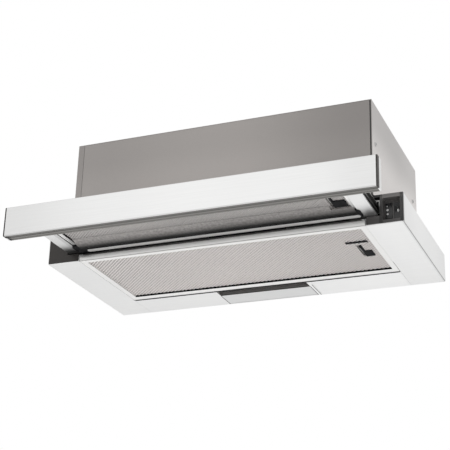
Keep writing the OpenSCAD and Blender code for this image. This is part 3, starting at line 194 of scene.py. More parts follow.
class HoodPlastics(bpy.types.PropertyGroup):
    cap: bpy.props.FloatVectorProperty(
        name="Caps", description="Dark grey corner caps and end caps",
        subtype="COLOR", size=3, min=0, max=1, default=(0.046, 0.041, 0.038))
    bezel: bpy.props.FloatVectorProperty(
        name="Bezel", description="Grey switch bezel",
        subtype="COLOR", size=3, min=0, max=1, default=(0.2, 0.19, 0.185))
    grip: bpy.props.FloatVectorProperty(
        name="Grip", description="Grey strip under the drawer front",
        subtype="COLOR", size=3, min=0, max=1, default=(0.17, 0.165, 0.155))
    black: bpy.props.FloatVectorProperty(
        name="Black", description="Black plastic of the blower, collar and trim",
        subtype="COLOR", size=3, min=0, max=1, default=(0.022, 0.022, 0.024))
    gloss: bpy.props.FloatVectorProperty(
        name="Gloss black", description="Rockers and latches",
        subtype="COLOR", size=3, min=0, max=1, default=(0.012, 0.012, 0.013))
    white: bpy.props.FloatVectorProperty(
        name="White", description="Junction box, capacitor and lamp socket",
        subtype="COLOR", size=3, min=0, max=1, default=(0.78, 0.77, 0.73))
    marks: bpy.props.FloatVectorProperty(
        name="Marks", description="Pale marks on the rockers",
        subtype="COLOR", size=3, min=0, max=1, default=(0.75, 0.75, 0.74))
    lens: bpy.props.FloatVectorProperty(
        name="Lamp cover", description="Frosted plastic of the lamp cover",
        subtype="COLOR", size=3, min=0, max=1, default=(0.81, 0.815, 0.81))


class HoodStage(bpy.types.PropertyGroup):
    ambient: bpy.props.FloatProperty(
        name="Ambient", description="Level of the light from all around",
        min=0, max=2, default=0.76)
    front: bpy.props.FloatProperty(
        name="Front panel", description="Brightness of the light panel at the front left",
        min=0, max=5, default=0.36)
    side: bpy.props.FloatProperty(
        name="Side panel", description="Brightness of the light panel at the right",
        min=0, max=5, default=0.6)
    below: bpy.props.FloatProperty(
        name="Lower panel", description="Brightness of the light panel below and behind",
        min=0, max=5, default=0.45)
    floor: bpy.props.FloatProperty(
        name="Floor", description="Height of the floor under the hung hood",
        unit="LENGTH", min=-3, max=-0.6, default=-1.55)
    floor_colour: bpy.props.FloatVectorProperty(
        name="Floor colour", description="Colour of the floor",
        subtype="COLOR", size=3, min=0, max=1, default=(0.9, 0.9, 0.9))


# Shaders

def add(tree, kind, links=(), **values):
    """Adds a node, sets its values by input name or attribute, and links inputs."""
    made = tree.nodes.new(kind)
    for key, value in values.items():
        name = key.replace("_", " ")
        if name in made.inputs:
            made.inputs[name].default_value = value
        else:
            setattr(made, key, value)
    for name, source in links:
        tree.links.new(source, made.inputs[name])
    return made


def ramp(tree, source, start, end, low, high, **extra):
    """Maps an output from start..end to low..high, and returns the new output."""
    made = add(tree, "ShaderNodeMapRange", [("Value", source)], **extra)
    for label, value in zip(("From Min", "From Max", "To Min", "To Max"), (start, end, low, high)):
        made.inputs[label].default_value = value
    return made.outputs[0]


def product(tree, first, second):
    """Multiplies two outputs, and returns the new output."""
    return add(tree, "ShaderNodeMath", [(0, first), (1, second)], operation="MULTIPLY").outputs[0]


def new_group(name, inputs, outputs):
    """An empty shader group with float or vector inputs and float outputs."""
    group = bpy.data.node_groups.new(name, "ShaderNodeTree")
    for label, kind, default in inputs:
        socket = group.interface.new_socket(label, in_out="INPUT", socket_type=kind)
        if default is not None:
            socket.default_value = default
    for label in outputs:
        group.interface.new_socket(label, in_out="OUTPUT", socket_type="NodeSocketFloat")
    return group, group.nodes.new("NodeGroupInput"), group.nodes.new("NodeGroupOutput")


def brushed_group():
    """Long fine lines along X, with broad soft stains."""
    name = "brushed lines"
    if name in bpy.data.node_groups:
        return bpy.data.node_groups[name]
    group, gin, gout = new_group(
        name,
        [("Vector", "NodeSocketVector", None), ("Fineness", "NodeSocketFloat", 1400.0),
         ("Length", "NodeSocketFloat", 120.0), ("Stain", "NodeSocketFloat", 6.0)],
        ["Tone", "Height", "Stain"])
    short = add(group, "ShaderNodeMath", [
        (0, gin.outputs["Fineness"]), (1, gin.outputs["Length"])], operation="DIVIDE")
    scale = add(group, "ShaderNodeCombineXYZ", [
        ("X", short.outputs[0]), ("Y", gin.outputs["Fineness"]), ("Z", gin.outputs["Fineness"])])
    stretched = add(group, "ShaderNodeVectorMath", [
        (0, gin.outputs["Vector"]), (1, scale.outputs[0])], operation="MULTIPLY")
    lines = add(group, "ShaderNodeTexNoise", [("Vector", stretched.outputs[0])],
                Scale=1.0, Detail=3.0, Roughness=0.6)
    stain = add(group, "ShaderNodeTexNoise", [
        ("Vector", gin.outputs["Vector"]), ("Scale", gin.outputs["Stain"])], Detail=2.0)
    for label, source in (("Tone", lines), ("Height", lines), ("Stain", stain)):
        group.links.new(source.outputs[0], gout.inputs[label])
    return group


def grained_group():
    """Fine even grain, as on moulded plastic or coated sheet, with broad soft stains."""
    name = "fine grain"
    if name in bpy.data.node_groups:
        return bpy.data.node_groups[name]
    group, gin, gout = new_group(
        name,
        [("Vector", "NodeSocketVector", None), ("Fineness", "NodeSocketFloat", 900.0),
         ("Length", "NodeSocketFloat", 1.0), ("Stain", "NodeSocketFloat", 8.0)],
        ["Tone", "Height", "Stain"])
    grain = add(group, "ShaderNodeTexNoise", [
        ("Vector", gin.outputs["Vector"]), ("Scale", gin.outputs["Fineness"])],
        Detail=2.0, Roughness=0.55)
    pits = add(group, "ShaderNodeTexVoronoi", [
        ("Vector", gin.outputs["Vector"]), ("Scale", gin.outputs["Fineness"])],
        Randomness=1.0)
    stain = add(group, "ShaderNodeTexNoise", [
        ("Vector", gin.outputs["Vector"]), ("Scale", gin.outputs["Stain"])], Detail=3.0)
    group.links.new(grain.outputs[0], gout.inputs["Tone"])
    group.links.new(pits.outputs["Distance"], gout.inputs["Height"])
    group.links.new(stain.outputs[0], gout.inputs["Stain"])
    return group


def finish_material(name, colour, metallic, roughness, effect, tone=0.06, stain=0.05,
                    rough_spread=0.08, bump=0.1, depth=0.00005, fineness=900.0, length=1.0,
                    stain_scale=7.0, fades=(), **extra):
    """A Principled material whose colour, roughness and bump follow one of the groups, with
    painted light and shade multiplied into its colour.
    """
    made = bpy.data.materials.get(name)
    if made:
        return made
    made = bpy.data.materials.new(name)
    made.use_nodes = True
    tree = made.node_tree
    tree.nodes.clear()
    out = tree.nodes.new("ShaderNodeOutputMaterial")
    shader = tree.nodes.new("ShaderNodeBsdfPrincipled")
    tree.links.new(shader.outputs[0], out.inputs["Surface"])
    where = tree.nodes.new("ShaderNodeTexCoord")
    group = tree.nodes.new("ShaderNodeGroup")
    group.node_tree = effect()
    tree.links.new(where.outputs["Object"], group.inputs["Vector"])
    for label, value in (("Fineness", fineness), ("Length", length), ("Stain", stain_scale)):
        group.inputs[label].default_value = value

    level = product(tree, ramp(tree, group.outputs["Tone"], 0.25, 0.75, 1.0 - tone, 1.0 + tone),
                    ramp(tree, group.outputs["Stain"], 0.3, 0.7, 1.0 - stain, 1.0))
    place = add(tree, "ShaderNodeSeparateXYZ", [(0, where.outputs["Object"])])
    # Painted light and shade: each entry brightens or darkens the colour along one axis.
    for axis, start, end, last in fades:
        level = product(tree, level, ramp(tree, place.outputs[axis], start, end, 1.0, last,
                                          interpolation_type="SMOOTHSTEP"))
    tint = add(tree, "ShaderNodeVectorMath", [("Scale", level)], operation="SCALE")
    tint.inputs[0].default_value = colour
    tree.links.new(tint.outputs[0], shader.inputs["Base Color"])
    rough = ramp(tree, group.outputs["Stain"], 0.3, 0.7,
                 max(0.02, roughness - rough_spread), min(1.0, roughness + rough_spread))
    tree.links.new(rough, shader.inputs["Roughness"])
    if bump:
        raised = add(tree, "ShaderNodeBump", [("Height", group.outputs["Height"])],
                     Strength=bump, Distance=depth)
        tree.links.new(raised.outputs[0], shader.inputs["Normal"])
    shader.inputs["Metallic"].default_value = metallic
    for key, value in extra.items():
        shader.inputs[key.replace("_", " ")].default_value = value
    return made


def steel_material(name="brushed steel", **extra):
    """The brushed steel of the drawer front and the underside."""
    metals = bpy.context.scene.hood_metals
    return finish_material(name, metals.steel, 0.85, metals.steel_roughness, brushed_group,
                           tone=0.035, stain=0.04, rough_spread=0.05, bump=0.12, depth=0.00003,
                           fineness=1500.0, length=metals.grain, stain_scale=5.0, **extra)


def paint(names, made):
    """Puts one material in every slot of the named CAD nodes."""
    for name in names:
        mesh = NODES[name].data
        mesh.materials.clear()
        mesh.materials.append(made)


def paint_faces(name, made, chosen):
    """Puts a second material on those faces of a CAD node that the test picks."""
    mesh = NODES[name].data
    mesh.materials.append(made)
    place = len(mesh.materials) - 1
    picked = [face for face in mesh.polygons if chosen(face.center, face.normal)]
    if not picked:
        raise RuntimeError("no such faces on " + name)
    for face in picked:
        face.material_index = place


# Meshes

def to_object(name, mesh):
    """A finished object from a bmesh, with its normals outwards."""
    bmesh.ops.recalc_face_normals(mesh, faces=mesh.faces)
    data = bpy.data.meshes.new(name)
    mesh.to_mesh(data)
    mesh.free()
    return bpy.data.objects.new(name, data)


def link(obj, body, made=None):
    """Puts a finished piece in the scene, on its body."""
    if obj.name not in bpy.context.scene.collection.all_objects:
        bpy.context.scene.collection.objects.link(obj)
    if made:
        obj.data.materials.clear()
        obj.data.materials.append(made)
    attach(obj, body)
    return obj


def slab(name, x0, x1, y0, y1, z0, z1):
    """A plain block between two corners, given in millimetres."""
    mesh = bmesh.new()
    bmesh.ops.create_cube(mesh, size=1.0)
    for vert in mesh.verts:
        vert.co = Vector((
            (x0 + x1) / 2 + vert.co.x * (x1 - x0), (y0 + y1) / 2 + vert.co.y * (y1 - y0),
            (z0 + z1) / 2 + vert.co.z * (z1 - z0))) * MM
    return to_object(name, mesh)


def add_slab(name, body, made, slot, *corners):
    """Puts a plain block on a body, such as a painted shadow line, painted shade or painted light
    over a gap, or a lip.
    """
    return link(slab(name, *corners), body, made)


def strip(name, x0, x1, outline):
    """A straight strip along X with an outline of (y, z) points, given in millimetres."""
    mesh = bmesh.new()
    ends = [[mesh.verts.new(Vector((x, y, z)) * MM) for y, z in outline] for x in (x0, x1)]
    for i in range(len(outline)):
        j = (i + 1) % len(outline)
        mesh.faces.new((ends[0][i], ends[0][j], ends[1][j], ends[1][i]))
    mesh.faces.new(ends[0])
    mesh.faces.new(ends[1][::-1])
    return to_object(name, mesh)


def disc(mesh, centre, radius, depth, sides=20):
    """A short round stud standing towards -Y, rounded at its rim."""
    rings = ((radius, 0.0), (radius, -0.6 * depth), (0.8 * radius, -depth))
    loops = []
    for r, y in rings:
        loops.append([mesh.verts.new(centre + Vector((r * math.cos(a), y, r * math.sin(a))))
                      for a in (2 * math.pi * i / sides for i in range(sides))])
    for first, second in zip(loops, loops[1:]):
        for i in range(sides):
            j = (i + 1) % sides
            mesh.faces.new((first[i], first[j], second[j], second[i]))
    mesh.faces.new(loops[-1])
    mesh.faces.new(loops[0][::-1])


def surface_point(node, x, z):
    """The frontmost point of a node at x and z."""
    low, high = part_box(node)
    hit, place, _, _ = NODES[node].ray_cast(
        Vector((x, low.y - 1.0, z)), Vector((0, 1, 0)))
    if not hit:
        raise RuntimeError("no surface of " + node + " at that place")
    return place


def cut_out(obj, x0, x1, y0, y1):
    """Cuts a rectangle, given in millimetres, clean out of a flat piece."""
    mesh = bmesh.new()
    mesh.from_mesh(obj.data)
    x0, x1, y0, y1 = x0 * MM, x1 * MM, y0 * MM, y1 * MM
    reach = 12 * MM  # more than half of one strand segment
    for place, normal in (((x0, 0, 0), (1, 0, 0)), ((x1, 0, 0), (1, 0, 0)),
                          ((0, y0, 0), (0, 1, 0)), ((0, y1, 0), (0, 1, 0))):
        near = [face for face in mesh.faces
                if x0 - reach < face.calc_center_median().x < x1 + reach
                and y0 - reach < face.calc_center_median().y < y1 + reach]
        geometry = list({*near, *(edge for face in near for edge in face.edges),
                         *(vert for face in near for vert in face.verts)})
        bmesh.ops.bisect_plane(mesh, geom=geometry, plane_co=place, plane_no=normal, dist=1e-7)
    gone = [face for face in mesh.faces
            if x0 < face.calc_center_median().x < x1 and y0 < face.calc_center_median().y < y1]
    bmesh.ops.delete(mesh, geom=gone, context="FACES")
    mesh.to_mesh(obj.data)
    mesh.free()


def strand_tree():
    """Geometry nodes for a woven diagonal mesh, cut to a rectangle."""
    tree = bpy.data.node_groups.new("diagonal mesh", "GeometryNodeTree")
    sockets = tree.interface
    sockets.new_socket("Geometry", in_out="INPUT", socket_type="NodeSocketGeometry")
    for label, kind, default in (
            ("Half width", "NodeSocketFloat", 0.2), ("Half depth", "NodeSocketFloat", 0.1),
            ("Middle", "NodeSocketVector", (0, 0, 0)), ("Pitch", "NodeSocketFloat", 0.007),
            ("Strand", "NodeSocketFloat", 0.0016), ("Thickness", "NodeSocketFloat", 0.0006),
            ("Wave", "NodeSocketFloat", 0.0002), ("Segments", "NodeSocketInt", 40),
            ("Material", "NodeSocketMaterial", None)):
        socket = sockets.new_socket(label, in_out="INPUT", socket_type=kind)
        if default is not None:
            socket.default_value = default
    sockets.new_socket("Geometry", in_out="OUTPUT", socket_type="NodeSocketGeometry")
    gin = tree.nodes.new("NodeGroupInput")
    gout = tree.nodes.new("NodeGroupOutput")
    given = gin.outputs

    def maths(operation, first, second=None):
        """A Math node on numbers or outputs, and its output."""
        made = add(tree, "ShaderNodeMath", operation=operation)
        for place, value in enumerate((first, second)):
            if isinstance(value, (int, float)):
                made.inputs[place].default_value = value
            elif value is not None:
                tree.links.new(value, made.inputs[place])
        return made.outputs[0]

    half_x, half_y = given["Half width"], given["Half depth"]
    reach = maths("ADD", half_x, half_y)
    count = maths("FLOOR", maths("DIVIDE", maths("MULTIPLY", reach, 2.0), given["Pitch"]))
    joined = tree.nodes.new("GeometryNodeJoinGeometry")
    for turn in (1.0, -1.0):
        row = add(tree, "GeometryNodeMeshLine", [("Count", count)], mode="OFFSET")
        index = tree.nodes.new("GeometryNodeInputIndex").outputs[0]
        offset = maths("ADD", maths("MULTIPLY", index, given["Pitch"]),
                       maths("ADD", maths("MULTIPLY", reach, -1.0),
                             maths("MULTIPLY", given["Pitch"], 0.5)))
        low = maths("MAXIMUM", maths("MULTIPLY", half_y, -1.0),
                    maths("SUBTRACT", maths("MULTIPLY", half_x, -1.0), offset))
        high = maths("MINIMUM", half_y, maths("SUBTRACT", half_x, offset))
        middle = maths("MULTIPLY", maths("ADD", low, high), 0.5)
        span = maths("MAXIMUM", maths("SUBTRACT", high, low), 0.0)
        centre_x = maths("MULTIPLY", maths("ADD", middle, offset), turn)
        place = add(tree, "ShaderNodeCombineXYZ", [("X", centre_x), ("Y", middle)])
        placed = add(tree, "GeometryNodeSetPosition", [
            ("Geometry", row.outputs["Mesh"]), ("Position", place.outputs[0])])
        bar = add(tree, "GeometryNodeMeshCube", [("Vertices X", given["Segments"])])
        size = add(tree, "ShaderNodeCombineXYZ", [
            ("Y", given["Strand"]), ("Z", given["Thickness"])], X=1.0)
        tree.links.new(size.outputs[0], bar.inputs["Size"])
        long = maths("MULTIPLY", span, math.sqrt(2.0))
        stretch = add(tree, "ShaderNodeCombineXYZ", [("X", long)], Y=1.0, Z=1.0)
        strands = add(tree, "GeometryNodeInstanceOnPoints", [
            ("Points", placed.outputs[0]), ("Instance", bar.outputs["Mesh"]),
            ("Scale", stretch.outputs[0])])
        strands.inputs["Rotation"].default_value = (0, 0, math.radians(45.0 * turn))
        real = add(tree, "GeometryNodeRealizeInstances", [("Geometry", strands.outputs[0])])
        here = tree.nodes.new("GeometryNodeInputPosition")
        parts = add(tree, "ShaderNodeSeparateXYZ", [(0, here.outputs[0])])
        along = maths("ADD", parts.outputs["Y"], maths("MULTIPLY", parts.outputs["X"], turn))
        phase = maths("MULTIPLY", maths("DIVIDE", along, given["Pitch"]), math.pi)
        lift = maths("MULTIPLY", maths("MULTIPLY", maths("SINE", phase), given["Wave"]), turn)
        shift = add(tree, "ShaderNodeCombineXYZ", [("Z", lift)])
        woven = add(tree, "GeometryNodeSetPosition", [
            ("Geometry", real.outputs[0]), ("Offset", shift.outputs[0])])
        tree.links.new(woven.outputs[0], joined.inputs[0])
    moved = add(tree, "GeometryNodeTransform", [
        ("Geometry", joined.outputs[0]), ("Translation", given["Middle"])])
    single = add(tree, "GeometryNodeRealizeInstances", [("Geometry", moved.outputs[0])])
    done = add(tree, "GeometryNodeSetMaterial", [
        ("Geometry", single.outputs[0]), ("Material", given["Material"])])
    tree.links.new(done.outputs[0], gout.inputs[0])
    return tree


def from_nodes(name, tree, values):
    """Runs a geometry tree once and returns its result as a plain mesh object."""
    carrier = bpy.data.objects.new(name + "_source", bpy.data.meshes.new(name + "_source"))
    bpy.context.scene.collection.objects.link(carrier)
    modifier = carrier.modifiers.new("nodes", "NODES")
    modifier.node_group = tree
    named = {item.name: item.identifier for item in tree.interface.items_tree
             if item.item_type == "SOCKET" and item.in_out == "INPUT"}
    for label, value in values.items():
        modifier[named[label]] = value
    bpy.context.view_layer.update()
    evaluated = carrier.evaluated_get(bpy.context.evaluated_depsgraph_get())
    mesh = bpy.data.meshes.new_from_object(evaluated)
    mesh.name = name
    bpy.data.objects.remove(carrier)
    if not mesh.polygons:
        raise RuntimeError("the geometry nodes made nothing for " + name)
    return bpy.data.objects.new(name, mesh)


# Metals and plastics

class HOOD_OT_steel(bpy.types.Operator):
    """Gives the drawer front, side covers, rear strip and members their brushed steel"""
    bl_idname = "hood.steel"
    bl_label = "Brushed steel"

    def execute(self, context):
        # Painted light and shade on copies of one brushed steel: the covers lighter to the right,
        # the right cover's outer face lighter with a dark front edge, the rear strip lighter to
        # the right, the drawer front with a painted highlight, the members darker towards the rear
        # and the left one darker on its inner side, and the slanted faces of the covers' folds
        # darker.
        paint(("side_cover_left", "side_cover_right"),
              steel_material(fades=[("X", 0.22, 0.28, 1.06)]))
        outer = steel_material("outer side steel", fades=[
            ("X", 0.2975, 0.2985, 1.08), ("Y", -0.1315, -0.1345, 0.25)])
        paint_faces("side_cover_right", outer, lambda centre, normal: normal.x > 0.9)
        paint(("rear_strip",), steel_material("rear steel", fades=[("X", -0.22, 0.2, 1.09)]))
        paint(("drawer_front",), steel_material("front steel", fades=FRONT_PAINTED_LIGHT))
        paint(("member_right",), steel_material("right member steel", fades=[
            ("Y", -0.190, -0.140, 0.45)]))
        paint(("member_left",), steel_material("left member steel", fades=[
            ("Y", -0.255, -0.190, 0.88), ("Y", -0.185, -0.145, 0.15),
            ("X", -0.2442, -0.2425, 0.8)]))
        fold = steel_material("folded edge", fades=[("Y", -0.137, -0.136, 0.55)])
        for name in ("side_cover_left", "side_cover_right"):
            paint_faces(name, fold,
                        lambda centre, normal: normal.z < -0.35 and abs(normal.x) > 0.5)
        return {"FINISHED"}


class HOOD_OT_casing(bpy.types.Operator):
    """Gives the upper casing and the inner sheet parts their coated sheet"""
    bl_idname = "hood.casing"
    bl_label = "Casing"

    def execute(self, context):
        metals = context.scene.hood_metals
        coat = dict(tone=0.03, stain=0.07, rough_spread=0.06, bump=0.15, depth=0.00004,
                    fineness=700.0, stain_scale=5.0)
        paint(CASING_NODES, finish_material("coated sheet", metals.sheet, 0.35, 0.42,
                                            grained_group, fades=CASING_PAINTED_LIGHT, **coat))
        # Painted shade: the casing's front and the shell's front faces get a darker copy of the
        # coated sheet.
        panel = finish_material("shaded coated sheet", metals.panel, 0.35, 0.42, grained_group,
                                fades=PANEL_PAINTED_LIGHT, **coat)
        paint(("casing_front",), panel)
        paint_faces("casing_shell", panel,
                    lambda centre, normal: normal.y < -0.9 and centre.y < -0.14)
        # Painted shade: the rail brackets and the lower shell's underside and front faces are
        # painted near black, as the shade they lie in.
        dark = finish_material("painted shade sheet", metals.dark, 0.2, 0.5, grained_group, **coat)
        # Painted shade: a dark grey for the strip in the gap at the front of the fixed filter.
        finish_material("header gap shade", (0.075, 0.072, 0.07), 0.2, 0.5, grained_group, **coat)
        paint(("rail_bracket_left", "rail_bracket_right"), dark)
        paint_faces("lower_shell", dark, lambda centre, normal: normal.z < -0.9
                    or (normal.y < -0.9 and centre.y < -0.137))

        # Painted shade: thin near-black strips in the seams at both edges of the casing's front.
        front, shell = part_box("casing_front"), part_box("casing_shell")
        y, z0, z1 = front[0].y / MM, front[0].z / MM, front[1].z / MM
        left, right = shell[0].x / MM + 10.5, shell[1].x / MM - 2.8
        for side, x, width in (("left", left, 0.6), ("right", right, 2.2)):
            add_slab("seam_" + side, "housing", dark, "dark_sheet",
                     x, x + width, y + 0.15, y + 0.95, z0, z1)
        return {"FINISHED"}


class HOOD_OT_rails(bpy.types.Operator):
    """Gives the slides, pins, springs and screws their plated steel, and the bar its satin"""
    bl_idname = "hood.rails"
    bl_label = "Slides and fixings"

    def execute(self, context):
        metals = context.scene.hood_metals
        plating = dict(tone=0.05, stain=0.12, fineness=500.0, stain_scale=30.0)
        paint(ZINC_NODES + SCREW_NODES, finish_material(
            "plated steel", metals.zinc, 0.9, 0.33, grained_group, **plating))
        # Painted light on the slides: lighter towards their tops.
        paint(RAIL_NODES, finish_material(
            "rail steel", metals.rail, 0.8, 0.35, grained_group,
            fades=[("Z", -0.021, -0.014, 2.2)], **plating))
        paint(("rear_bar",), finish_material("satin bar", metals.bar, 0.25, 0.4, brushed_group,
                                             tone=0.02, stain=0.02, bump=0.06, length=80.0,
                                             fineness=1500.0))
        paint(("motor",), finish_material("motor stack", (0.27, 0.27, 0.28), 0.7, 0.5,
                                          grained_group, tone=0.1, stain=0.1))
        return {"FINISHED"}


class HOOD_OT_plastics(bpy.types.Operator):
    """Gives the caps, trim, blower, collar, rockers and latches their moulded plastic"""
    bl_idname = "hood.plastics"
    bl_label = "Plastics"

    def execute(self, context):
        plastics = context.scene.hood_plastics
        moulded = dict(tone=0.06, bump=0.25, depth=0.00005, fineness=1500.0)
        smooth = dict(tone=0.05, bump=0.05, fineness=900.0)
        paint(CAP_NODES, finish_material("cap plastic", plastics.cap, 0.0, 0.45, grained_group,
                                         Specular_IOR_Level=0.3, **moulded))
        bezel = finish_material("bezel plastic and edge shade", plastics.bezel, 0.0, 0.45, grained_group,
                                fades=BEZEL_PAINTED_LIGHT, **moulded)
        paint(("control_bezel",), bezel)
        # Painted shade: the right side cover's front face at its outer edge takes the bezel's
        # colour.
        paint_faces("side_cover_right", bezel, lambda centre, normal: normal.y < -0.9
                    and centre.x > 0.297 and centre.y < -0.137)
        add_slab("bezel_lip", "housing", bezel, "dark_plastic",
                 266.0, 297.7, FRONT_Y - 0.5, FRONT_Y, -2.5, -0.1)
        # Painted shade and light on the grip: near black at its left end, lighter towards the
        # rear.
        paint(("front_grip",), finish_material(
            "grip plastic", plastics.grip, 0.0, 0.5, grained_group,
            fades=[("X", -0.288, -0.296, 0.1), ("Y", -0.2725, -0.2595, 1.5)], **moulded))
        paint(BLACK_NODES, finish_material("black plastic", plastics.black, 0.0, 0.5,
                                           grained_group, tone=0.08, bump=0.25, fineness=1300.0))
        paint(("rear_trim", "filter_latch", "drawer_latch"), finish_material(
            "dull black plastic and painted shade", plastics.gloss, 0.0, 0.5, grained_group,
            Specular_IOR_Level=0.03, **smooth))
        paint(("fan_rocker", "light_rocker"), finish_material(
            "gloss black plastic", plastics.gloss, 0.0, 0.22, grained_group, **smooth))
        paint(WHITE_NODES, finish_material("white plastic", plastics.white, 0.0, 0.42,
                                           grained_group, tone=0.02, bump=0.12, fineness=1100.0))
        return {"FINISHED"}


# Filters

def filter_place(node, latch, borders):
    """Measures a filter: its box, the limits of its mesh and its latch, in millimetres."""
    side, front, rear = borders
    low, high = (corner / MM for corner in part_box(node + "_frame"))
    latch_low, latch_high = (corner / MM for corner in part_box(latch))
    return Place(
        low=low, high=high, half=high.x - side, front=low.y + front, rear=high.y - rear,
        under=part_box(node + "_mesh")[0].z / MM, latch_x=latch_low.x + 2.0,
        latch_y=(latch_low.y + latch_high.y) / 2,
        latch_reach=(latch_high.y - latch_low.y) / 2 - 1.5)


def mesh_materials(name, inner_colour, outer_colour, inner_painted_light, outer_painted_light):
    """The rough inner layers of a filter's mesh and its outer layer, one aluminium given two
    colours of painted light and shade.
    """
    inner = finish_material(name + " inner mesh", inner_colour, 0.4, 0.6, grained_group, tone=0.2,
                            stain=0.12, bump=0.8, depth=0.0006, fineness=260.0,
                            fades=inner_painted_light)
    outer = finish_material(name + " outer mesh", outer_colour, 0.6, 0.42, grained_group,
                            tone=0.08, stain=0.08, bump=0.2, fineness=600.0, fades=outer_painted_light)
    return inner, outer


def paint_filter(node, place, inner, step):
    """Paints a filter's mesh sheet, the frame's inner faces that match it, and its rear step."""
    paint((node + "_mesh",), inner)
    paint_faces(node + "_frame", inner, lambda centre, normal: normal.z < -0.9
                and abs(centre.z / MM - place.under + 0.8) < 0.1
                and abs(centre.x) / MM < place.half)
    paint_faces(node + "_frame", step, lambda centre, normal: normal.y < -0.9
                and abs(centre.y / MM - place.rear) < 0.3)


def woven_mesh(name, place, tree, segments, pitch, knob, made):
    """The woven outer layer of a filter's mesh, open round the latch and its knob's width."""
    filters = bpy.context.scene.hood_filters
    piece = from_nodes(name, tree, {
        "Half width": (place.half + WEAVE_MARGIN) * MM,
        "Half depth": ((place.rear - place.front) / 2 + WEAVE_MARGIN) * MM,
        "Middle": (0.0, (place.front + place.rear) / 2 * MM, (place.under - WEAVE_DROP) * MM),
        "Pitch": pitch, "Strand": filters.strand, "Thickness": WEAVE_THICKNESS * MM,
        "Wave": filters.wave, "Segments": segments, "Material": made})
    x, y, reach = place.latch_x, place.latch_y, place.latch_reach
    cut_out(piece, x - 4.5, x + 4.0, y - reach, y + reach)
    cut_out(piece, x - 4.5, x + knob, y - 0.5, y + reach)
    return piece


def fixed_filter_trim(place, piece, border, dark):
    """Adds the finger slit with its painted shade, painted shadow lines, painted shade and painted
    light over the gaps, the rolled edge, and a painted shade strip in the gap at the front of the
    fixed filter.
    """
    half, rear, floor = place.half, place.rear, place.under - SHADOW_DROP
    slit = (place.latch_x - 17.0, place.latch_x + 18.0, place.latch_y - 41.5, place.latch_y - 34.5)
    cut_out(piece, *slit)
    # Painted shade: a black strip in the slit stands for its dark inside.
    add_slab("finger_slit", "housing", dark, "black_plastic",
             *slit, floor - 0.3, place.under + 1.2)
    add_slab("mesh_shadow", "housing", dark, "black_plastic",
             -half, half, rear - 3.0, rear, floor, floor + SHADOW_THICKNESS)
    # Painted light: strips of the frame's aluminium lie over the gaps beside the fixed filter, so
    # that their shade shows only faintly.
    left, right = place.low.x + 6.5, place.high.x
    for side, x, last in (("left", left, rear + 13.0), ("right", right, rear - 30.0)):
        add_slab("side_gap_" + side, "housing", border, "filter_aluminium",
                 x - 0.8, x + 0.8, place.front - 8.0, last, UNDER_Z + 0.6, UNDER_Z + 1.0)
    # Painted shade: near-black strips in the gap behind the fixed filter and at the right end of
    # its rolled front edge.
    add_slab("rear_gap", "housing", dark, "dark_sheet",
             -half - 8.0, half + 8.0, rear + 13.8, rear + 17.4, UNDER_Z - 0.15, UNDER_Z + 0.2)
    add_slab("front_gap", "housing", dark, "black_plastic",
             240.2, 242.2, FRONT_Y + 0.1, FRONT_Y + 1.0, UNDER_Z + 1.0, UNDER_Z + 11.0)
    link(strip("filter_front_roll", left, right, FRONT_ROLL), "housing", border)
    # Painted shade: a dark grey strip in the gap between the drawer's rear trim and the fixed
    # filter's front.
    add_slab("header_lip", "housing", bpy.data.materials["header gap shade"], "dark_sheet",
             -236.0, 236.0, FRONT_Y + 0.2, FRONT_Y + 1.3, UNDER_Z + 9.9, UNDER_Z + 11.5)


def drawer_filter_trim(place, rim, dark):
    """Adds the folded rim, painted shadow line, latch pad and the rolled edge of the mesh, painted
    into shade towards the rear, of the drawer's filter.
    """
    half, floor = place.half, place.under - SHADOW_DROP
    x, y = place.latch_x, place.latch_y
    add_slab("drawer_rim", "drawer", rim, "filter_aluminium",
             -half - 0.5, -half + 2.0, place.front - 1.0, place.rear,
             place.low.z, place.low.z + 1.2)
    add_slab("drawer_rim_shadow", "drawer", dark, "black_plastic",
             -half + 2.0, -half + 4.5, place.front, place.rear, floor, floor + SHADOW_THICKNESS)
    # Painted shade: the rolled edge of the mesh goes nearly black towards the rear and darker to
    # the right.
    edge = finish_material("shaded mesh edge", (0.42, 0.401, 0.389), 0.4, 0.6, grained_group, tone=0.25,
                           bump=0.8, depth=0.0006, fineness=260.0, Specular_IOR_Level=0.08,
                           fades=[("Y", -0.184, -0.1585, 0.02), ("X", -0.09, 0.06, 0.86)])
    add_slab("latch_pad", "drawer_filter_latch", dark, "black_gloss",
             x + 13.0, x + 21.0, y, y + place.latch_reach - 1.0, -31.0, -30.0)
    for part, start, end, lead in (
            ("wide", -half + 4.0, MESH_EDGE_SPLIT, (-187.0, -29.9)),
            ("end", MESH_EDGE_SPLIT, half + 2.0, (-176.0, -31.9))):
        link(strip("drawer_mesh_edge_" + part, start, end, [lead, *MESH_EDGE]),
             "drawer", edge)


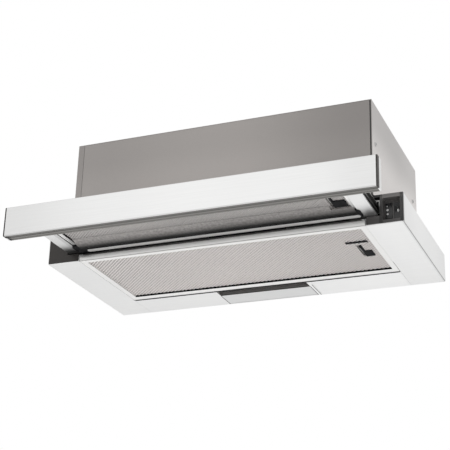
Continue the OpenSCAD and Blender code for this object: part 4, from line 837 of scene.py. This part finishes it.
class HOOD_OT_filters(bpy.types.Operator):
    """Gives both grease filters their folded frames and their woven diagonal mesh"""
    bl_idname = "hood.filters"
    bl_label = "Grease filters"

    def execute(self, context):
        filters = context.scene.hood_filters
        look = dict(tone=0.03, stain=0.06, bump=0.1, fineness=800.0)
        border = finish_material("filter frame", filters.frame_colour, 0.4, 0.38, grained_group,
                                 **look)
        # Painted shade: the drawer filter's frame gets darker towards the rear.
        rim = finish_material("drawer filter frame", filters.frame_colour, 0.6, 0.38,
                              grained_group, fades=[("Y", -0.215, -0.172, 0.4)], **look)
        paint(("filter_frame",), border)
        paint(("drawer_filter_frame",), rim)
        # This black material also serves as painted shade: on the fixed filter's rear step, in the
        # finger slit and in the shadow lines and gaps.
        dark = bpy.data.materials["dull black plastic and painted shade"]
        tree = strand_tree()

        inner, outer = mesh_materials("fixed_filter", filters.inner_colour, filters.mesh_colour,
                                      FIXED_INNER_PAINTED_LIGHT, FIXED_OUTER_PAINTED_LIGHT)
        place = filter_place("filter", "filter_latch", FIXED_BORDERS)
        # Painted shade: the fixed filter's rear step is painted black.
        paint_filter("filter", place, inner, dark)
        piece = woven_mesh("fixed_filter_strands", place, tree, 60, filters.pitch, 14.5, outer)
        fixed_filter_trim(place, piece, border, dark)
        link(piece, "housing", outer)

        inner, outer = mesh_materials("drawer_filter", filters.drawer_inner_colour,
                                      filters.drawer_mesh_colour, DRAWER_PAINTED_LIGHT, DRAWER_PAINTED_LIGHT)
        place = filter_place("drawer_filter", "drawer_latch", DRAWER_BORDERS)
        paint_filter("drawer_filter", place, inner, inner)
        piece = woven_mesh("drawer_filter_strands", place, tree, 26, filters.drawer_pitch, 23.0,
                           outer)
        drawer_filter_trim(place, rim, dark)
        link(piece, "drawer", outer)
        return {"FINISHED"}


# Switches and lamp

class HOOD_OT_switch_marks(bpy.types.Operator):
    """Adds the small pale marks on the two rockers"""
    bl_idname = "hood.switch_marks"
    bl_label = "Switch marks"

    def execute(self, context):
        made = finish_material("pale marks", context.scene.hood_plastics.marks, 0.0, 0.4,
                               grained_group, tone=0.02, bump=0.0)
        for body, node, marks in (("fan_switch", "fan_rocker", FAN_MARKS),
                                  ("light_switch", "light_rocker", LIGHT_MARKS)):
            low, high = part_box(node)
            middle = (low + high) / 2
            mesh = bmesh.new()
            for across, height, radius in marks:
                spot = surface_point(node, middle.x + across * MM, middle.z + height * MM)
                disc(mesh, spot + Vector((0, 0.2 * MM, 0)), radius * MM, 0.45 * MM)
            link(to_object(node + "_marks", mesh), body, made)
        return {"FINISHED"}


class HOOD_OT_lamp(bpy.types.Operator):
    """Gives the lamp cover its frosted plastic and the bulb its frosted glass"""
    bl_idname = "hood.lamp"
    bl_label = "Lamp"

    def execute(self, context):
        lens = context.scene.hood_plastics.lens
        paint(("lamp_cover",), finish_material(
            "frosted cover", lens, 0.0, 0.35, grained_group, tone=0.02, stain=0.03, bump=0.1,
            fineness=900.0, Coat_Weight=0.2))
        low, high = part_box("lamp_cover")
        shade = finish_material("slot shade", (0.16, 0.155, 0.15), 0.0, 0.6, grained_group,
                                bump=0.0, fades=[("Z", -0.0457, -0.0466, 0.08)])
        paint_faces("lamp_cover", shade,
                    lambda centre, normal: normal.y < -0.9 and centre.y < low.y + 0.1 * MM)
        # Painted shade: near-black lines in the seams beside and beyond the lamp cover.
        dark = bpy.data.materials["painted shade sheet"]
        for name, x, y0, y1 in (("left", low.x / MM - 0.7, 92.0, 136.0),
                                ("right", high.x / MM + 0.7, 92.0, 136.0),
                                ("far", high.x / MM + 5.7, 84.0, 137.0)):
            add_slab("lamp_seam_" + name, "housing", dark, "dark_sheet",
                     x - 0.45, x + 0.45, y0, y1, UNDER_Z - 0.15, UNDER_Z + 0.1)
        paint(("lamp_bulb",), finish_material(
            "frosted glass", (0.86, 0.84, 0.78), 0.0, 0.3, grained_group, tone=0.01,
            stain=0.02, bump=0.05, Coat_Weight=0.3))
        return {"FINISHED"}


# Stage

def panel_light(name, place, target, size, radiance):
    """A square light panel of a given brightness that faces a point."""
    data = bpy.data.lights.new(name, "AREA")
    data.shape = "SQUARE"
    data.size = size
    data.energy = radiance * math.pi * size * size
    lamp = bpy.data.objects.new(name, data)
    lamp.location = place
    lamp.rotation_euler = (Vector(target) - Vector(place)).to_track_quat("-Z", "Y").to_euler()
    lamp.visible_camera = False
    bpy.context.scene.collection.objects.link(lamp)


def hood_camera():
    """The camera of the photograph, a little below the hood and to its right."""
    data = bpy.data.cameras.new("hood_camera")
    data.sensor_width = 36.0
    data.lens = CAMERA_LENS
    data.clip_start = 0.05
    data.clip_end = 30.0
    camera = bpy.data.objects.new("hood_camera", data)
    rows = [(right, up, -ahead, place) for right, up, ahead, place
            in zip(CAMERA_RIGHT, CAMERA_UP, CAMERA_AHEAD, CAMERA_PLACE)]
    camera.matrix_world = Matrix((*rows, (0, 0, 0, 1)))
    bpy.context.scene.collection.objects.link(camera)
    bpy.context.scene.camera = camera


def studio_world(level):
    """White for what the camera and glass see, and a plain level for the rest."""
    world = bpy.data.worlds.new("studio")
    world.use_nodes = True
    tree = world.node_tree
    tree.nodes.clear()
    path = tree.nodes.new("ShaderNodeLightPath")
    seen = add(tree, "ShaderNodeMath", [
        (0, path.outputs["Is Camera Ray"]), (1, path.outputs["Is Transmission Ray"])],
        operation="MAXIMUM")
    strength = ramp(tree, seen.outputs[0], 0.0, 1.0, level, 1.0)
    light = add(tree, "ShaderNodeBackground", [("Strength", strength)])
    light.inputs["Color"].default_value = (1, 1, 1, 1)
    out = tree.nodes.new("ShaderNodeOutputWorld")
    tree.links.new(light.outputs[0], out.inputs["Surface"])
    bpy.context.scene.world = world


def floor_piece(height, colour):
    """A wide pale floor far below, which is clear when seen from underneath."""
    mesh = bmesh.new()
    corners = [mesh.verts.new((x, y, height)) for x, y in ((-9, -9), (9, -9), (9, 9), (-9, 9))]
    mesh.faces.new(corners)
    data = bpy.data.meshes.new("floor")
    mesh.to_mesh(data)
    mesh.free()
    floor = bpy.data.objects.new("floor", data)
    bpy.context.scene.collection.objects.link(floor)
    made = bpy.data.materials.new("pale floor")
    made.use_nodes = True
    tree = made.node_tree
    tree.nodes.clear()
    out = tree.nodes.new("ShaderNodeOutputMaterial")
    plain = tree.nodes.new("ShaderNodeBsdfPrincipled")
    plain.inputs["Base Color"].default_value = (*colour, 1)
    plain.inputs["Roughness"].default_value = 0.9
    clear = tree.nodes.new("ShaderNodeBsdfTransparent")
    back = tree.nodes.new("ShaderNodeNewGeometry")
    mix = tree.nodes.new("ShaderNodeMixShader")
    tree.links.new(back.outputs["Backfacing"], mix.inputs[0])
    tree.links.new(plain.outputs[0], mix.inputs[1])
    tree.links.new(clear.outputs[0], mix.inputs[2])
    tree.links.new(mix.outputs[0], out.inputs["Surface"])
    data.materials.append(made)


class HOOD_OT_stage(bpy.types.Operator):
    """Sets the camera, the light panels, the white surroundings and the floor"""
    bl_idname = "hood.stage"
    bl_label = "Stage"

    def execute(self, context):
        for name in ("Cube", "Light", "Camera"):
            if name in bpy.data.objects:
                bpy.data.objects.remove(bpy.data.objects[name])
        stage = context.scene.hood_stage
        hood_camera()
        studio_world(stage.ambient)
        middle = (0, -0.05, 0.03)
        panel_light("front_panel", (-1.3, -2.9, 1.3), middle, 2.6, stage.front)
        panel_light("side_panel", (2.7, 0.9, 0.7), middle, 2.4, stage.side)
        panel_light("lower_panel", (-0.6, 1.1, -1.45), middle, 1.8, stage.below)
        floor_piece(stage.floor, stage.floor_colour)
        context.scene.view_settings.view_transform = "Standard"
        return {"FINISHED"}


# Panel and registration

class HOOD_PT_panel(bpy.types.Panel):
    """Lists the steps that finish the hood"""
    bl_idname = "HOOD_PT_panel"
    bl_label = "Pull-out hood"
    bl_space_type = "VIEW_3D"
    bl_region_type = "UI"
    bl_category = "Hood"

    def draw(self, context):
        for step in STEPS:
            self.layout.operator(step.bl_idname)
        for key in GROUPS:
            group = getattr(context.scene, key)
            box = self.layout.box()
            for name in group.__annotations__:
                box.prop(group, name)


GROUPS = {"hood_metals": HoodMetals, "hood_filters": HoodFilters,
          "hood_plastics": HoodPlastics, "hood_stage": HoodStage}
STEPS = (HOOD_OT_stage, HOOD_OT_steel, HOOD_OT_casing, HOOD_OT_rails, HOOD_OT_plastics,
         HOOD_OT_filters, HOOD_OT_switch_marks, HOOD_OT_lamp)


def register():
    for name, group in GROUPS.items():
        bpy.utils.register_class(group)
        setattr(bpy.types.Scene, name, bpy.props.PointerProperty(type=group))
    for step in STEPS:
        bpy.utils.register_class(step)
    bpy.utils.register_class(HOOD_PT_panel)


def unregister():
    bpy.utils.unregister_class(HOOD_PT_panel)
    for step in reversed(STEPS):
        bpy.utils.unregister_class(step)
    for name, group in reversed(GROUPS.items()):
        delattr(bpy.types.Scene, name)
        bpy.utils.unregister_class(group)


def main():
    register()
    for step in STEPS:
        area, name = step.bl_idname.split(".")
        getattr(getattr(bpy.ops, area), name)()


if __name__ == "__main__":
    main()
